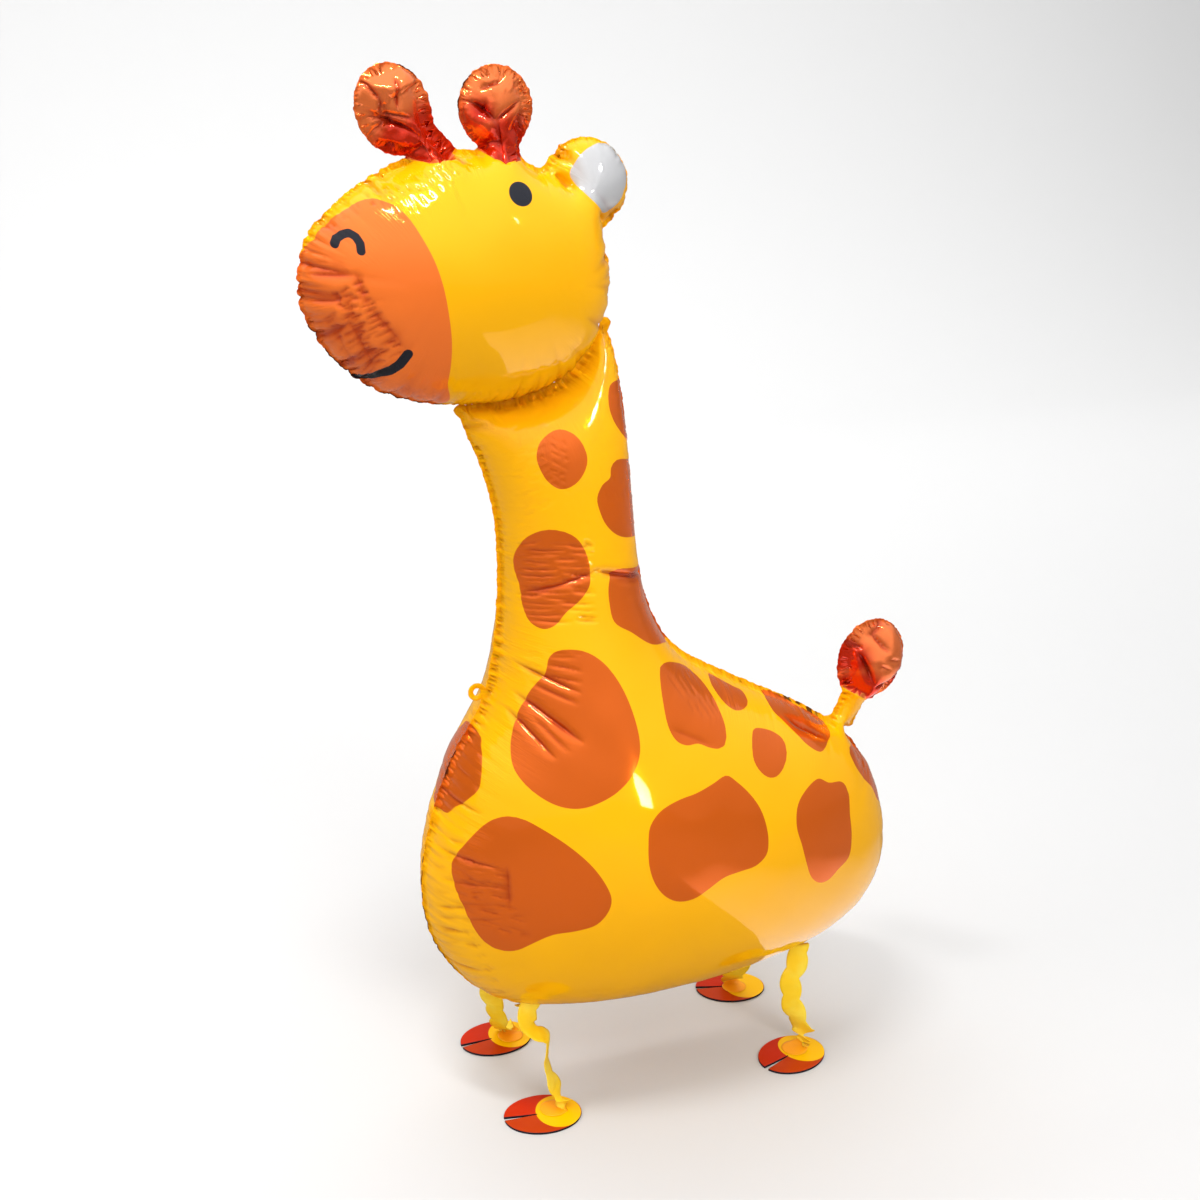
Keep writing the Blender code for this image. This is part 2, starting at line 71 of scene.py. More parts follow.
# Print on the body, as outlines read off the photograph in its pixels
BODY_SPOTS = {
    "neck_top": [(557, 429), (573, 434), (584, 447), (587, 461), (582, 476), (572, 486), (560, 489),
                 (548, 482), (540, 470), (536, 456), (540, 441)],
    "neck_upper_back": [(610, 383), (607, 400), (610, 413), (617, 427), (627, 440), (640, 420),
                        (638, 394), (625, 380)],
    "neck_lower_back": [(617, 459), (611, 466), (610, 477), (602, 485), (597, 498), (600, 512),
                        (606, 525), (617, 535), (632, 536), (645, 528), (645, 470), (631, 459)],
    "neck_middle": [(543, 529), (562, 531), (576, 538), (585, 551), (590, 570), (589, 586),
                    (580, 600), (566, 612), (554, 625), (542, 628), (530, 622), (522, 607),
                    (518, 584), (513, 566), (514, 552), (526, 537)],
    "nape": [(613, 571), (608, 585), (609, 604), (614, 622), (631, 632), (650, 643), (662, 642),
             (676, 638), (664, 600), (654, 566), (632, 567)],
    "shoulder_large": [(548, 657), (555, 651), (567, 649), (584, 651), (600, 660), (613, 674),
                       (624, 692), (633, 714), (639, 738), (639, 756), (632, 775), (618, 791),
                       (600, 802), (580, 808), (560, 806), (541, 797), (524, 783), (512, 766),
                       (509, 748), (512, 728), (520, 705), (531, 686), (544, 671)],
    "withers": [(659, 666), (664, 661), (675, 662), (687, 667), (699, 678), (711, 695), (720, 714),
                (725, 731), (725, 743), (719, 748), (709, 747), (698, 743), (686, 745), (676, 740),
                (668, 726), (663, 704), (660, 682)],
    "back_small": [(704, 671), (717, 676), (731, 684), (741, 690), (746, 699), (744, 707),
                   (735, 709), (727, 705), (718, 695), (710, 683)],
    "back_long": [(759, 693), (768, 690), (780, 695), (792, 702), (806, 709), (818, 718),
                  (828, 730), (827, 740), (818, 750), (806, 744), (794, 732), (782, 720),
                  (770, 708)],
    "flank_small": [(752, 729), (763, 727), (775, 732), (783, 740), (786, 753), (783, 767),
                    (776, 776), (768, 777), (759, 770), (753, 759), (751, 744)],
    "chest_front": [(468, 723), (475, 729), (479, 745), (479, 768), (476, 786), (466, 795),
                    (451, 801), (437, 806), (423, 804), (420, 770), (443, 735)],
    "chest_large": [(507, 815), (492, 817), (480, 824), (466, 838), (451, 855), (449, 865),
                    (453, 884), (463, 908), (474, 929), (486, 943), (500, 949), (515, 949),
                    (532, 942), (552, 934), (576, 930), (596, 924), (608, 911), (611, 898),
                    (604, 882), (589, 863), (566, 844), (541, 828), (522, 818)],
    "flank_large": [(726, 775), (736, 781), (749, 793), (759, 807), (765, 822), (768, 840),
                    (766, 854), (756, 865), (740, 871), (724, 877), (709, 888), (694, 898),
                    (678, 901), (665, 896), (655, 884), (649, 866), (648, 845), (650, 826),
                    (660, 811), (678, 800), (696, 793), (713, 783)],
    "rump": [(817, 778), (828, 782), (841, 781), (847, 790), (849, 812), (851, 836), (848, 856),
             (838, 868), (828, 879), (819, 882), (811, 877), (806, 863), (801, 844), (796, 826),
             (797, 806), (804, 791)],
    "rump_back": [(842, 733), (846, 748), (853, 763), (862, 776), (871, 787), (876, 798),
                  (892, 795), (886, 760), (864, 732), (849, 727)],
}
TUFT_AREA = [(838, 684), (853, 692), (868, 700), (890, 712), (925, 690), (925, 625), (880, 600),
             (835, 610), (815, 650)]

# Print on the head, in the same pixels
MUZZLE_AREA = [(338, 208), (352, 201), (370, 197), (390, 203), (407, 217), (421, 237), (434, 261),
               (443, 287), (448, 313), (451, 340), (450, 364), (446, 384), (440, 400), (400, 430),
               (300, 420), (268, 330), (290, 275), (300, 252), (311, 233), (323, 219)]
HORN_FRONT_AREA = [(411, 160), (430, 159), (450, 155), (456, 142), (440, 118), (440, 80),
                   (400, 45), (345, 55), (335, 110), (360, 150), (395, 156)]
HORN_REAR_AREA = [(484, 158), (502, 160), (521, 157), (528, 138), (545, 100), (535, 60), (495, 45),
                  (455, 60), (447, 105), (475, 145)]
EAR_WHITE_AREA = [(562, 172), (569, 158), (581, 147), (595, 142), (608, 144), (617, 151),
                  (620, 162), (621, 176), (617, 190), (609, 203), (597, 212), (584, 203),
                  (568, 186)]
EYE_PLACE = (519, 194)
EYE_WIDTH = 0.0225
EYE_HEIGHT = 0.0200
NOSTRIL_LINE = [(332, 243), (334, 237), (340, 233), (347, 232), (354, 236), (359, 243), (360, 251)]
NOSTRIL_WIDTH = 0.0068
MOUTH_LINE = [(352, 378), (364, 377), (376, 375), (388, 371), (398, 364), (407, 354)]
MOUTH_WIDTH = 0.0088

# The mouth thins from its corner on: over what length, and by what share of its width
MOUTH_TAPER_LENGTH, MOUTH_TAPER = 0.055, 0.75

# Finely cut patches round the nostril, the mouth and the eye: how far they reach, and their spacing
NOSTRIL_PATCH, MOUTH_PATCH, EYE_PATCH, PATCH_SPACING = 0.024, 0.032, 0.015, 0.0013

# The pinched line at the ear's root, and how thick the ear stays there
EAR_ROOT = [(546, 170), (604, 226)]
EAR_ROOT_THICKNESS = 0.012

# Single long creases: start and end in the photograph, depth and half-width
BODY_CREASES = [
    ((516, 590), (600, 568), 0.0034, 0.0020),
    ((590, 569), (645, 568), 0.0056, 0.0022),
    ((612, 580), (640, 578), 0.0012, 0.0018),
    ((505, 655), (582, 693), 0.0040, 0.0022),
    ((527, 680), (580, 704), 0.0024, 0.0016),
    ((508, 687), (585, 744), 0.0050, 0.0024),
    ((500, 702), (556, 760), 0.0040, 0.0022),
    ((545, 662), (584, 671), 0.0014, 0.0014),
    ((541, 672), (584, 683), 0.0016, 0.0014),
    ((530, 714), (570, 754), 0.0018, 0.0016),
    ((429, 837), (506, 869), 0.0024, 0.0016),
    ((440, 874), (507, 886), 0.0014, 0.0018),
    ((445, 897), (506, 904), 0.0010, 0.0020),
    ((450, 914), (506, 918), 0.0010, 0.0018),
    ((430, 788), (483, 813), 0.0022, 0.0014),
    ((427, 894), (468, 904), 0.0016, 0.0014),
    ((428, 915), (468, 931), 0.0016, 0.0016),
    ((436, 957), (482, 969), 0.0016, 0.0018),
    ((445, 760), (470, 776), 0.0008, 0.0014),
    ((505, 862), (508, 912), 0.0024, 0.0026),
    ((446, 742), (474, 722), 0.0016, 0.0020),
    ((780, 714), (830, 740), 0.0034, 0.0034),
    ((668, 727), (718, 747), 0.0014, 0.0028),
    ((838, 640), (862, 646), 0.0060, 0.0018),
    ((854, 650), (874, 686), 0.0085, 0.0024),
    ((872, 688), (900, 672), 0.0060, 0.0020),
    ((868, 626), (890, 654), 0.0050, 0.0018),
]
HEAD_CREASES = [
    ((298, 272), (352, 275), 0.0028, 0.0026),
    ((310, 344), (348, 322), 0.0028, 0.0030),
    ((344, 318), (372, 372), 0.0020, 0.0030),
    ((330, 330), (350, 365), 0.0010, 0.0018),
    ((584, 316), (598, 328), 0.0010, 0.0016),
    ((352, 268), (366, 306), 0.0016, 0.0036),
    ((366, 306), (408, 352), 0.0022, 0.0040),
    ((300, 300), (345, 300), 0.0020, 0.0024),
    ((330, 378), (362, 350), 0.0020, 0.0024),
    ((352, 396), (376, 362), 0.0018, 0.0022),
    ((358, 78), (379, 101), 0.0060, 0.0016),
    ((378, 98), (374, 116), 0.0050, 0.0014),
    ((374, 114), (420, 118), 0.0060, 0.0016),
    ((394, 72), (400, 112), 0.0050, 0.0018),
    ((358, 118), (422, 134), 0.0085, 0.0022),
    ((374, 148), (420, 152), 0.0036, 0.0016),
    ((460, 98), (498, 124), 0.0085, 0.0022),
    ((496, 122), (526, 98), 0.0060, 0.0018),
    ((498, 122), (503, 158), 0.0040, 0.0018),
    ((472, 86), (506, 70), 0.0044, 0.0016),
]


# Where the copper is painted deep red near the roots, a painted reflection of the yellow head and
# body: places in the photograph and how far round them
BODY_ROOT_REFLECTIONS = [((852, 694), 26), ((844, 656), 18), ((902, 672), 18)]
HEAD_ROOT_REFLECTIONS = [((432, 150), 44), ((392, 142), 22), ((431, 112), 12), ((503, 150), 36),
              ((474, 112), 16)]

# Where the tucked rim gets painted dark dashes, a painted dark reflection of its scalloped edge:
# places in the photograph and how far round them
BODY_RIM_REFLECTIONS = [((425, 915), 66), ((446, 758), 20), ((800, 700), 24)]
HEAD_RIM_REFLECTIONS = [((345, 375), 75), ((400, 410), 45), ((460, 90), 22), ((405, 68), 12)]

# Bands of short cross wrinkles: the first row's start and end, the last row's start, how many rows,
# depth and half-width
BODY_HATCHES = [
    ((514, 539), (590, 543), (520, 618), 15, 0.0017, 0.0013),
    ((455, 858), (505, 872), (478, 922), 11, 0.0014, 0.0013),
    ((548, 436), (566, 446), (552, 484), 7, 0.0006, 0.0011),
    ((528, 650), (580, 652), (520, 676), 5, 0.0006, 0.0012),
    ((512, 428), (545, 408), (520, 520), 20, 0.0005, 0.0011),
    ((470, 480), (520, 470), (500, 600), 18, 0.0005, 0.0012),
    ((426, 830), (470, 842), (440, 990), 13, 0.0012, 0.0020),
    ((600, 470), (608, 500), (626, 468), 4, 0.0006, 0.0012),
    ((668, 676), (700, 722), (690, 668), 5, 0.0007, 0.0014),
    ((462, 930), (478, 945), (500, 1000), 7, 0.0010, 0.0016),
]
HEAD_HATCHES = [
    ((362, 281), (330, 296), (402, 352), 15, 0.0022, 0.0012),
    ((350, 300), (318, 318), (384, 366), 12, 0.0020, 0.0012),
    ((375, 205), (362, 190), (470, 172), 14, 0.0015, 0.0012),
    ((404, 222), (392, 200), (448, 188), 7, 0.0006, 0.0012),
    ((330, 225), (322, 216), (372, 206), 8, 0.0006, 0.0011),
    ((340, 262), (306, 260), (352, 276), 4, 0.0006, 0.0012),
    ((398, 388), (392, 404), (436, 390), 7, 0.0008, 0.0012),
    ((460, 392), (456, 405), (530, 388), 9, 0.0006, 0.0012),
]


# The way each hoof's toe points, in degrees from +X
HOOF_TOES = {"front_left": 172, "front_right": 183, "rear_left": 200, "rear_right": 164}


# Settings that a user would change

class FoilSettings(bpy.types.PropertyGroup):
    """Sizes of the two foil balloons."""
    rim_width: bpy.props.FloatProperty(
        name="Rim width", description="Width of the flat weld", default=0.0050, unit="LENGTH")
    rim_tucked: bpy.props.FloatProperty(
        name="Tucked rim", description="Width that shows where the outline bulges", default=0.0022,
        unit="LENGTH")
    rim_thickness: bpy.props.FloatProperty(
        name="Rim thickness", description="Both foils together at the weld", default=0.0005,
        unit="LENGTH")
    rim_wave: bpy.props.FloatProperty(
        name="Rim wave", description="How far the rim's edge waves sideways", default=0.0010,
        unit="LENGTH")
    fullness: bpy.props.FloatProperty(
        name="Fullness", description="How hard the balloons are filled", default=0.93,
        subtype="FACTOR")
    pucker_spacing: bpy.props.FloatProperty(
        name="Pucker spacing", description="Between the main puckers along the weld",
        default=0.0150, unit="LENGTH")
    pucker_depth: bpy.props.FloatProperty(
        name="Pucker depth", description="Depth of a pucker on a curved stretch of the weld",
        default=0.0032, unit="LENGTH")
    pucker_reach: bpy.props.FloatProperty(
        name="Pucker reach", description="How far a pucker runs in from the weld", default=0.040,
        unit="LENGTH")
    lobe_facets: bpy.props.IntProperty(
        name="Facets", description="Flat facets on each side of a horn or the tail tuft",
        default=8)
    lobe_folds: bpy.props.IntProperty(
        name="Folds", description="Deep folds on each side of a horn or the tail tuft", default=4)
    detail: bpy.props.FloatProperty(
        name="Detail", description="Length of a facet beside the weld", default=0.0014,
        unit="LENGTH")
    tab_reach: bpy.props.FloatProperty(
        name="Tab reach", description="Radius round the ribbon hole that belongs to its tab",
        default=0.0105, unit="LENGTH")
    seed: bpy.props.IntProperty(
        name="Seed", description="Another arrangement of puckers", default=7)


class InkSettings(bpy.types.PropertyGroup):
    """Colours of the print, the strips and the hooves."""
    yellow: bpy.props.FloatVectorProperty(
        name="Yellow", description="Foil print", default=(0.930, 0.455, 0.002), subtype="COLOR")
    spot: bpy.props.FloatVectorProperty(
        name="Spots", description="Spots on the body", default=(0.900, 0.155, 0.008),
        subtype="COLOR")
    muzzle: bpy.props.FloatVectorProperty(
        name="Muzzle", description="Print round the nose", default=(0.880, 0.178, 0.024),
        subtype="COLOR")
    copper: bpy.props.FloatVectorProperty(
        name="Horns", description="Horns and tail tuft", default=(1.000, 0.215, 0.050),
        subtype="COLOR")
    # Deep red near the horn and tuft roots: a painted reflection of the yellow head and body
    root_reflection: bpy.props.FloatVectorProperty(
        name="Stems", description="Horns and tail tuft near their roots",
        default=(0.720, 0.026, 0.002), subtype="COLOR")
    ear: bpy.props.FloatVectorProperty(
        name="Ear", description="Inside of the ear", default=(0.500, 0.500, 0.510),
        subtype="COLOR")
    ink: bpy.props.FloatVectorProperty(
        name="Ink", description="Eye, nostril and mouth", default=(0.010, 0.011, 0.018),
        subtype="COLOR")
    paper: bpy.props.FloatVectorProperty(
        name="Strips", description="Paper of the legs", default=(0.940, 0.600, 0.012),
        subtype="COLOR")
    pad: bpy.props.FloatVectorProperty(
        name="Pads", description="Round ends of the legs", default=(1.000, 0.390, 0.006),
        subtype="COLOR")
    hoof: bpy.props.FloatVectorProperty(
        name="Hooves", description="Card of the hooves", default=(0.560, 0.024, 0.001),
        subtype="COLOR")
    heel: bpy.props.FloatVectorProperty(
        name="Heels", description="Disc printed on the hooves", default=(0.900, 0.500, 0.000),
        subtype="COLOR")


class LegSettings(bpy.types.PropertyGroup):
    """Sizes of the strips and the hooves."""
    strip_width: bpy.props.FloatProperty(
        name="Strip width", description="Across two scallops", default=0.0245, unit="LENGTH")
    strip_waist: bpy.props.FloatProperty(
        name="Strip waist", description="Between two scallops", default=0.0165, unit="LENGTH")
    scallop: bpy.props.FloatProperty(
        name="Scallop", description="Length of one scallop", default=0.028, unit="LENGTH")
    paper: bpy.props.FloatProperty(
        name="Paper", description="Thickness of the strip", default=0.0004, unit="LENGTH")
    crumple: bpy.props.FloatProperty(
        name="Crumple", description="How far the paper is bent", default=0.0026, unit="LENGTH")
    pad: bpy.props.FloatProperty(
        name="Pad", description="Diameter of a strip's round end", default=0.028, unit="LENGTH")
    stagger: bpy.props.FloatProperty(
        name="Stagger", description="How far one edge's scallops are set along from the other's",
        default=0.3, subtype="FACTOR")
    curl: bpy.props.FloatProperty(
        name="Curl", description="How far the strip's edges curl", default=0.0012, unit="LENGTH")
    hoof_length: bpy.props.FloatProperty(
        name="Hoof length", description="From toe to heel", default=0.080, unit="LENGTH")
    hoof_width: bpy.props.FloatProperty(
        name="Hoof width", description="Across the hoof", default=0.064, unit="LENGTH")
    cleft_length: bpy.props.FloatProperty(
        name="Cleft length", description="Depth of the cut at the toe", default=0.034,
        unit="LENGTH")
    cleft_mouth: bpy.props.FloatProperty(
        name="Cleft mouth", description="Width of the cut at the toe", default=0.005,
        unit="LENGTH")
    cleft_end: bpy.props.FloatProperty(
        name="Cleft end", description="Width of the cut's inner end", default=0.0012,
        unit="LENGTH")
    heel_length: bpy.props.FloatProperty(
        name="Heel length", description="Printed disc, from toe to heel", default=0.046,
        unit="LENGTH")
    heel_width: bpy.props.FloatProperty(
        name="Heel width", description="Printed disc, across the hoof", default=0.054,
        unit="LENGTH")


class StageSettings(bpy.types.PropertyGroup):
    """Floor and light."""
    floor: bpy.props.FloatVectorProperty(
        name="Floor", description="Colour of the floor", default=(0.58, 0.58, 0.58),
        subtype="COLOR")
    mirrored: bpy.props.FloatVectorProperty(
        name="Mirrored floor", description="Colour of the floor as the foil mirrors it",
        default=(0.18, 0.17, 0.16), subtype="COLOR")
    floor_size: bpy.props.FloatProperty(
        name="Floor size", description="Side of the floor", default=60, unit="LENGTH")
    sweep_start: bpy.props.FloatProperty(
        name="Sweep start", description="How far behind the balloon the floor starts to rise",
        default=3.0, unit="LENGTH")
    sweep_radius: bpy.props.FloatProperty(
        name="Sweep radius", description="Bend of the floor into the wall", default=1.6,
        unit="LENGTH")
    sweep_height: bpy.props.FloatProperty(
        name="Sweep height", description="Height of the wall", default=5.0, unit="LENGTH")
    room: bpy.props.FloatProperty(
        name="Room", description="Strength of the room's light", default=0.34)
    backdrop: bpy.props.FloatProperty(
        name="Backdrop", description="Strength of the room's light where the camera sees it",
        default=0.43)
    ceiling: bpy.props.FloatProperty(
        name="Ceiling", description="How much brighter the room is overhead", default=0.76)
    key: bpy.props.FloatProperty(
        name="Key", description="Power of the overhead softbox in watts", default=25)
    strip: bpy.props.FloatProperty(
        name="Strip", description="Power of the narrow softbox in watts", default=0.03)
    window: bpy.props.FloatProperty(
        name="Window", description="Power of the small front softbox in watts", default=0.032)
    board: bpy.props.FloatProperty(
        name="Board", description="Power of the white board on the floor, seen only in the gloss",
        default=8.2)
    fill: bpy.props.FloatProperty(
        name="Fill", description="Power of the front fill in watts", default=31)
    wall: bpy.props.FloatProperty(
        name="Wall", description="Power of the light on the wall in watts", default=150)


# Flat shapes: loops of (x, z) points, anticlockwise

# Share of an inset's depth that its points must keep from the loop, steps of a print's curve
# between two corners, and the smallest facet that is kept, in doubled square metres
INSET_SLACK = 0.985
PRINT_STEPS = 4
SMALLEST_FACET = 1e-10


def bending(loop, span=8, smoothing=13):
    """How sharply a finely spaced loop bends, in turns per metre: positive where it bulges out."""
    ahead, behind = np.roll(loop, -span, axis=0) - loop, loop - np.roll(loop, span, axis=0)
    step = np.linalg.norm(loop[1] - loop[0])
    bend = (behind[:, 0] * ahead[:, 1] - behind[:, 1] * ahead[:, 0]) / (span * step) ** 3
    even = np.ones(smoothing) / smoothing
    return np.convolve(np.tile(bend, 3), even, "same")[len(bend):-len(bend)]


def evenly(loop, step):
    closed = np.vstack([loop, loop[:1]])
    run = np.concatenate([[0], np.cumsum(np.linalg.norm(np.diff(closed, axis=0), axis=1))])
    at = np.linspace(0, run[-1], max(8, round(run[-1] / step)), endpoint=False)
    return np.stack([np.interp(at, run, closed[:, k]) for k in (0, 1)], 1)


def curve_through(corners, steps=12):
    """A smooth closed curve through the corners, however unevenly they are spaced."""
    p = np.array(corners, float)
    before, after, beyond = (np.roll(p, k, axis=0) for k in (1, -1, -2))
    gaps = [np.sqrt(np.linalg.norm(b - a, axis=1))[:, None] + 1e-9
            for a, b in ((before, p), (p, after), (after, beyond))]
    t1 = gaps[1]
    m1 = (p - before) / gaps[0] - (after - before) / (gaps[0] + t1) + (after - p) / t1
    m2 = (after - p) / t1 - (beyond - p) / (t1 + gaps[2]) + (beyond - after) / gaps[2]
    curve = []
    for t in np.arange(steps) / steps:
        a = 2 * t ** 3 - 3 * t ** 2
        curve.append(p * (1 + a) - after * a + t1 * (
            m1 * (t ** 3 - 2 * t ** 2 + t) + m2 * (t ** 3 - t ** 2)))
    return np.stack(curve, axis=1).reshape(-1, 2)


def inward(loop, span=3):
    """Unit normals that point into an anticlockwise loop."""
    along = np.roll(loop, -span, axis=0) - np.roll(loop, span, axis=0)
    along /= np.linalg.norm(along, axis=1)[:, None]
    return np.stack([-along[:, 1], along[:, 0]], 1)


def distance(points, line, closed=True):
    """How far each point is from a line of points."""
    ends = np.roll(line, -1, axis=0) if closed else line[1:]
    best = np.full(len(points), np.inf)
    for a, b in zip(line, ends):
        side = b - a
        t = np.clip((points - a) @ side / max(side @ side, 1e-12), 0, 1)
        gap = points - a - t[:, None] * side
        best = np.minimum(best, np.einsum("ij,ij->i", gap, gap))
    return np.sqrt(best)


def inside(points, loop):
    found = np.zeros(len(points), bool)
    for a, b in zip(loop, np.roll(loop, -1, axis=0)):
        spans = (a[1] > points[:, 1]) != (b[1] > points[:, 1])
        rise = b[1] - a[1] if b[1] != a[1] else 1e-9
        found ^= spans & (points[:, 0] < a[0] + (points[:, 1] - a[1]) * (b[0] - a[0]) / rise)
    return found


def anticlockwise(loop):
    x, z = loop.T
    return loop[::-1] if np.sum(x * np.roll(z, -1) - np.roll(x, -1) * z) < 0 else loop


def doubled_areas(flat, cells):
    """Twice the area of each facet, negative where it runs clockwise."""
    a, b, c = (flat[cells[:, k]] for k in range(3))
    return (b[:, 0] - a[:, 0]) * (c[:, 1] - a[:, 1]) - (b[:, 1] - a[:, 1]) * (c[:, 0] - a[:, 0])


def depth_in(points, loop):
    """Distance inside a loop, negative outside it."""
    return np.where(inside(points, loop), 1, -1) * distance(points, loop)


def lookup(points):
    """A tree that finds the nearest of some (x, z) points."""
    tree = kdtree.KDTree(len(points))
    for k, (x, z) in enumerate(points):
        tree.insert((x, z, 0), k)
    tree.balance()
    return tree


def nearest(tree, points):
    """The number of the nearest point in the tree to each point, and how far away it is."""
    found = [tree.find((x, z, 0)) for x, z in points]
    return np.array([f[1] for f in found]), np.array([f[2] for f in found])


def inset(loop, depth):
    """Points at that depth inside a finely spaced loop."""
    moved = loop + inward(loop) * depth
    return moved[nearest(lookup(loop), moved)[1] > INSET_SLACK * depth]


class Spread:
    """Points kept a spacing apart."""

    def __init__(self, cell):
        self.cell = cell
        self.cells = {}
        self.points = []

    def near(self, p, gap):
        reach = int(gap / self.cell) + 1
        i, j = int(p[0] // self.cell), int(p[1] // self.cell)
        for a in range(i - reach, i + reach + 1):
            for b in range(j - reach, j + reach + 1):
                for q in self.cells.get((a, b), ()):
                    if (q[0] - p[0]) ** 2 + (q[1] - p[1]) ** 2 < gap * gap:
                        return True
        return False

    def add(self, points, gap):
        for x, z in np.asarray(points, float).tolist():
            if gap == 0 or not self.near((x, z), gap):
                key = (int(x // self.cell), int(z // self.cell))
                self.cells.setdefault(key, []).append((x, z))
                self.points.append((x, z))


# The photograph's view

def camera_axes():
    turn, dip = math.radians(CAMERA_TURN), math.radians(CAMERA_DIP)
    ahead = Vector((math.sin(turn) * math.cos(dip), math.cos(turn) * math.cos(dip), -math.sin(dip)))
    right = Vector((math.cos(turn), -math.sin(turn), 0))
    return right, right.cross(ahead), ahead


def cast(pixel, surface):
    """Where a pixel of the photograph meets a surface, or else the plane Y = 0, as (x, z)."""
    right, up, ahead = camera_axes()
    across, down = ((p - PHOTO_SIZE / 2) / FOCAL_PIXELS for p in pixel)
    way = ahead + right * across - up * down
    start = Vector(CAMERA_PLACE)
    hit = surface.ray_cast(start, way)[0] if surface else None
    if hit is None or hit.y > 0:
        hit = start - way * (start.y / way.y)
    return hit.x, hit.z


def printed(pixels, surface):
    """A print's outline in the flat of the sheet."""
    return anticlockwise(curve_through([cast(p, surface) for p in pixels], PRINT_STEPS))


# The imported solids

def node_triangles(name):
    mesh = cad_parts[name].data
    mesh.calc_loop_triangles()
    points = np.empty(len(mesh.vertices) * 3)
    mesh.vertices.foreach_get("co", points)
    corners = np.empty(len(mesh.loop_triangles) * 3, int)
    mesh.loop_triangles.foreach_get("vertices", corners)
    return points.reshape(-1, 3)[corners.reshape(-1, 3)]


def node_surface(name):
    triangles = node_triangles(name)
    points = [Vector(p) for p in triangles.reshape(-1, 3)]
    return BVHTree.FromPolygons(points, [(k, k + 1, k + 2) for k in range(0, len(points), 3)])


def rim_loops(name):
    """The edges of a balloon's flat rim, longest first: the outline, then any hole."""
    onward = {}
    for triangle in node_triangles(name):
        far = triangle[:, 1] > 0
        if far.sum() == 2:
            k = int(np.argmin(far))
            a, b = triangle[(k + 1) % 3], triangle[(k + 2) % 3]
            onward[(round(a[0], 5), round(a[2], 5))] = (round(b[0], 5), round(b[2], 5))
    loops = []
    while onward:
        first, following = onward.popitem()
        loop = [first]
        while following != first:
            loop.append(following)
            following = onward.pop(following)
        loops.append(np.array(loop))
    loops.sort(key=len, reverse=True)
    return [anticlockwise(loop) for loop in loops]


# Balloons

# Depths of the rows of facets beside the weld
RING_DEPTHS = (0.0007, 0.0018, 0.0034, 0.0055, 0.0082, 0.0115, 0.0155, 0.0200, 0.0250, 0.0305,
               0.0365, 0.0430, 0.0500)


# Spacing of facets far from the weld, and of rows in a band of wrinkles
BODY_LATTICE, HEAD_LATTICE = 0.0045, 0.0036
BODY_HATCH_SPACING, HEAD_HATCH_SPACING = 0.0013, 0.0012

# How near a pinched line the sheet is held, and when the swelling is settled: most rounds, and the
# smallest rest, as a share of the round before and in itself
PINCH_REACH = 0.0008
SWELL_ROUNDS, SWELL_REST, SMALLEST_REST = 1500, 1e-14, 1e-16


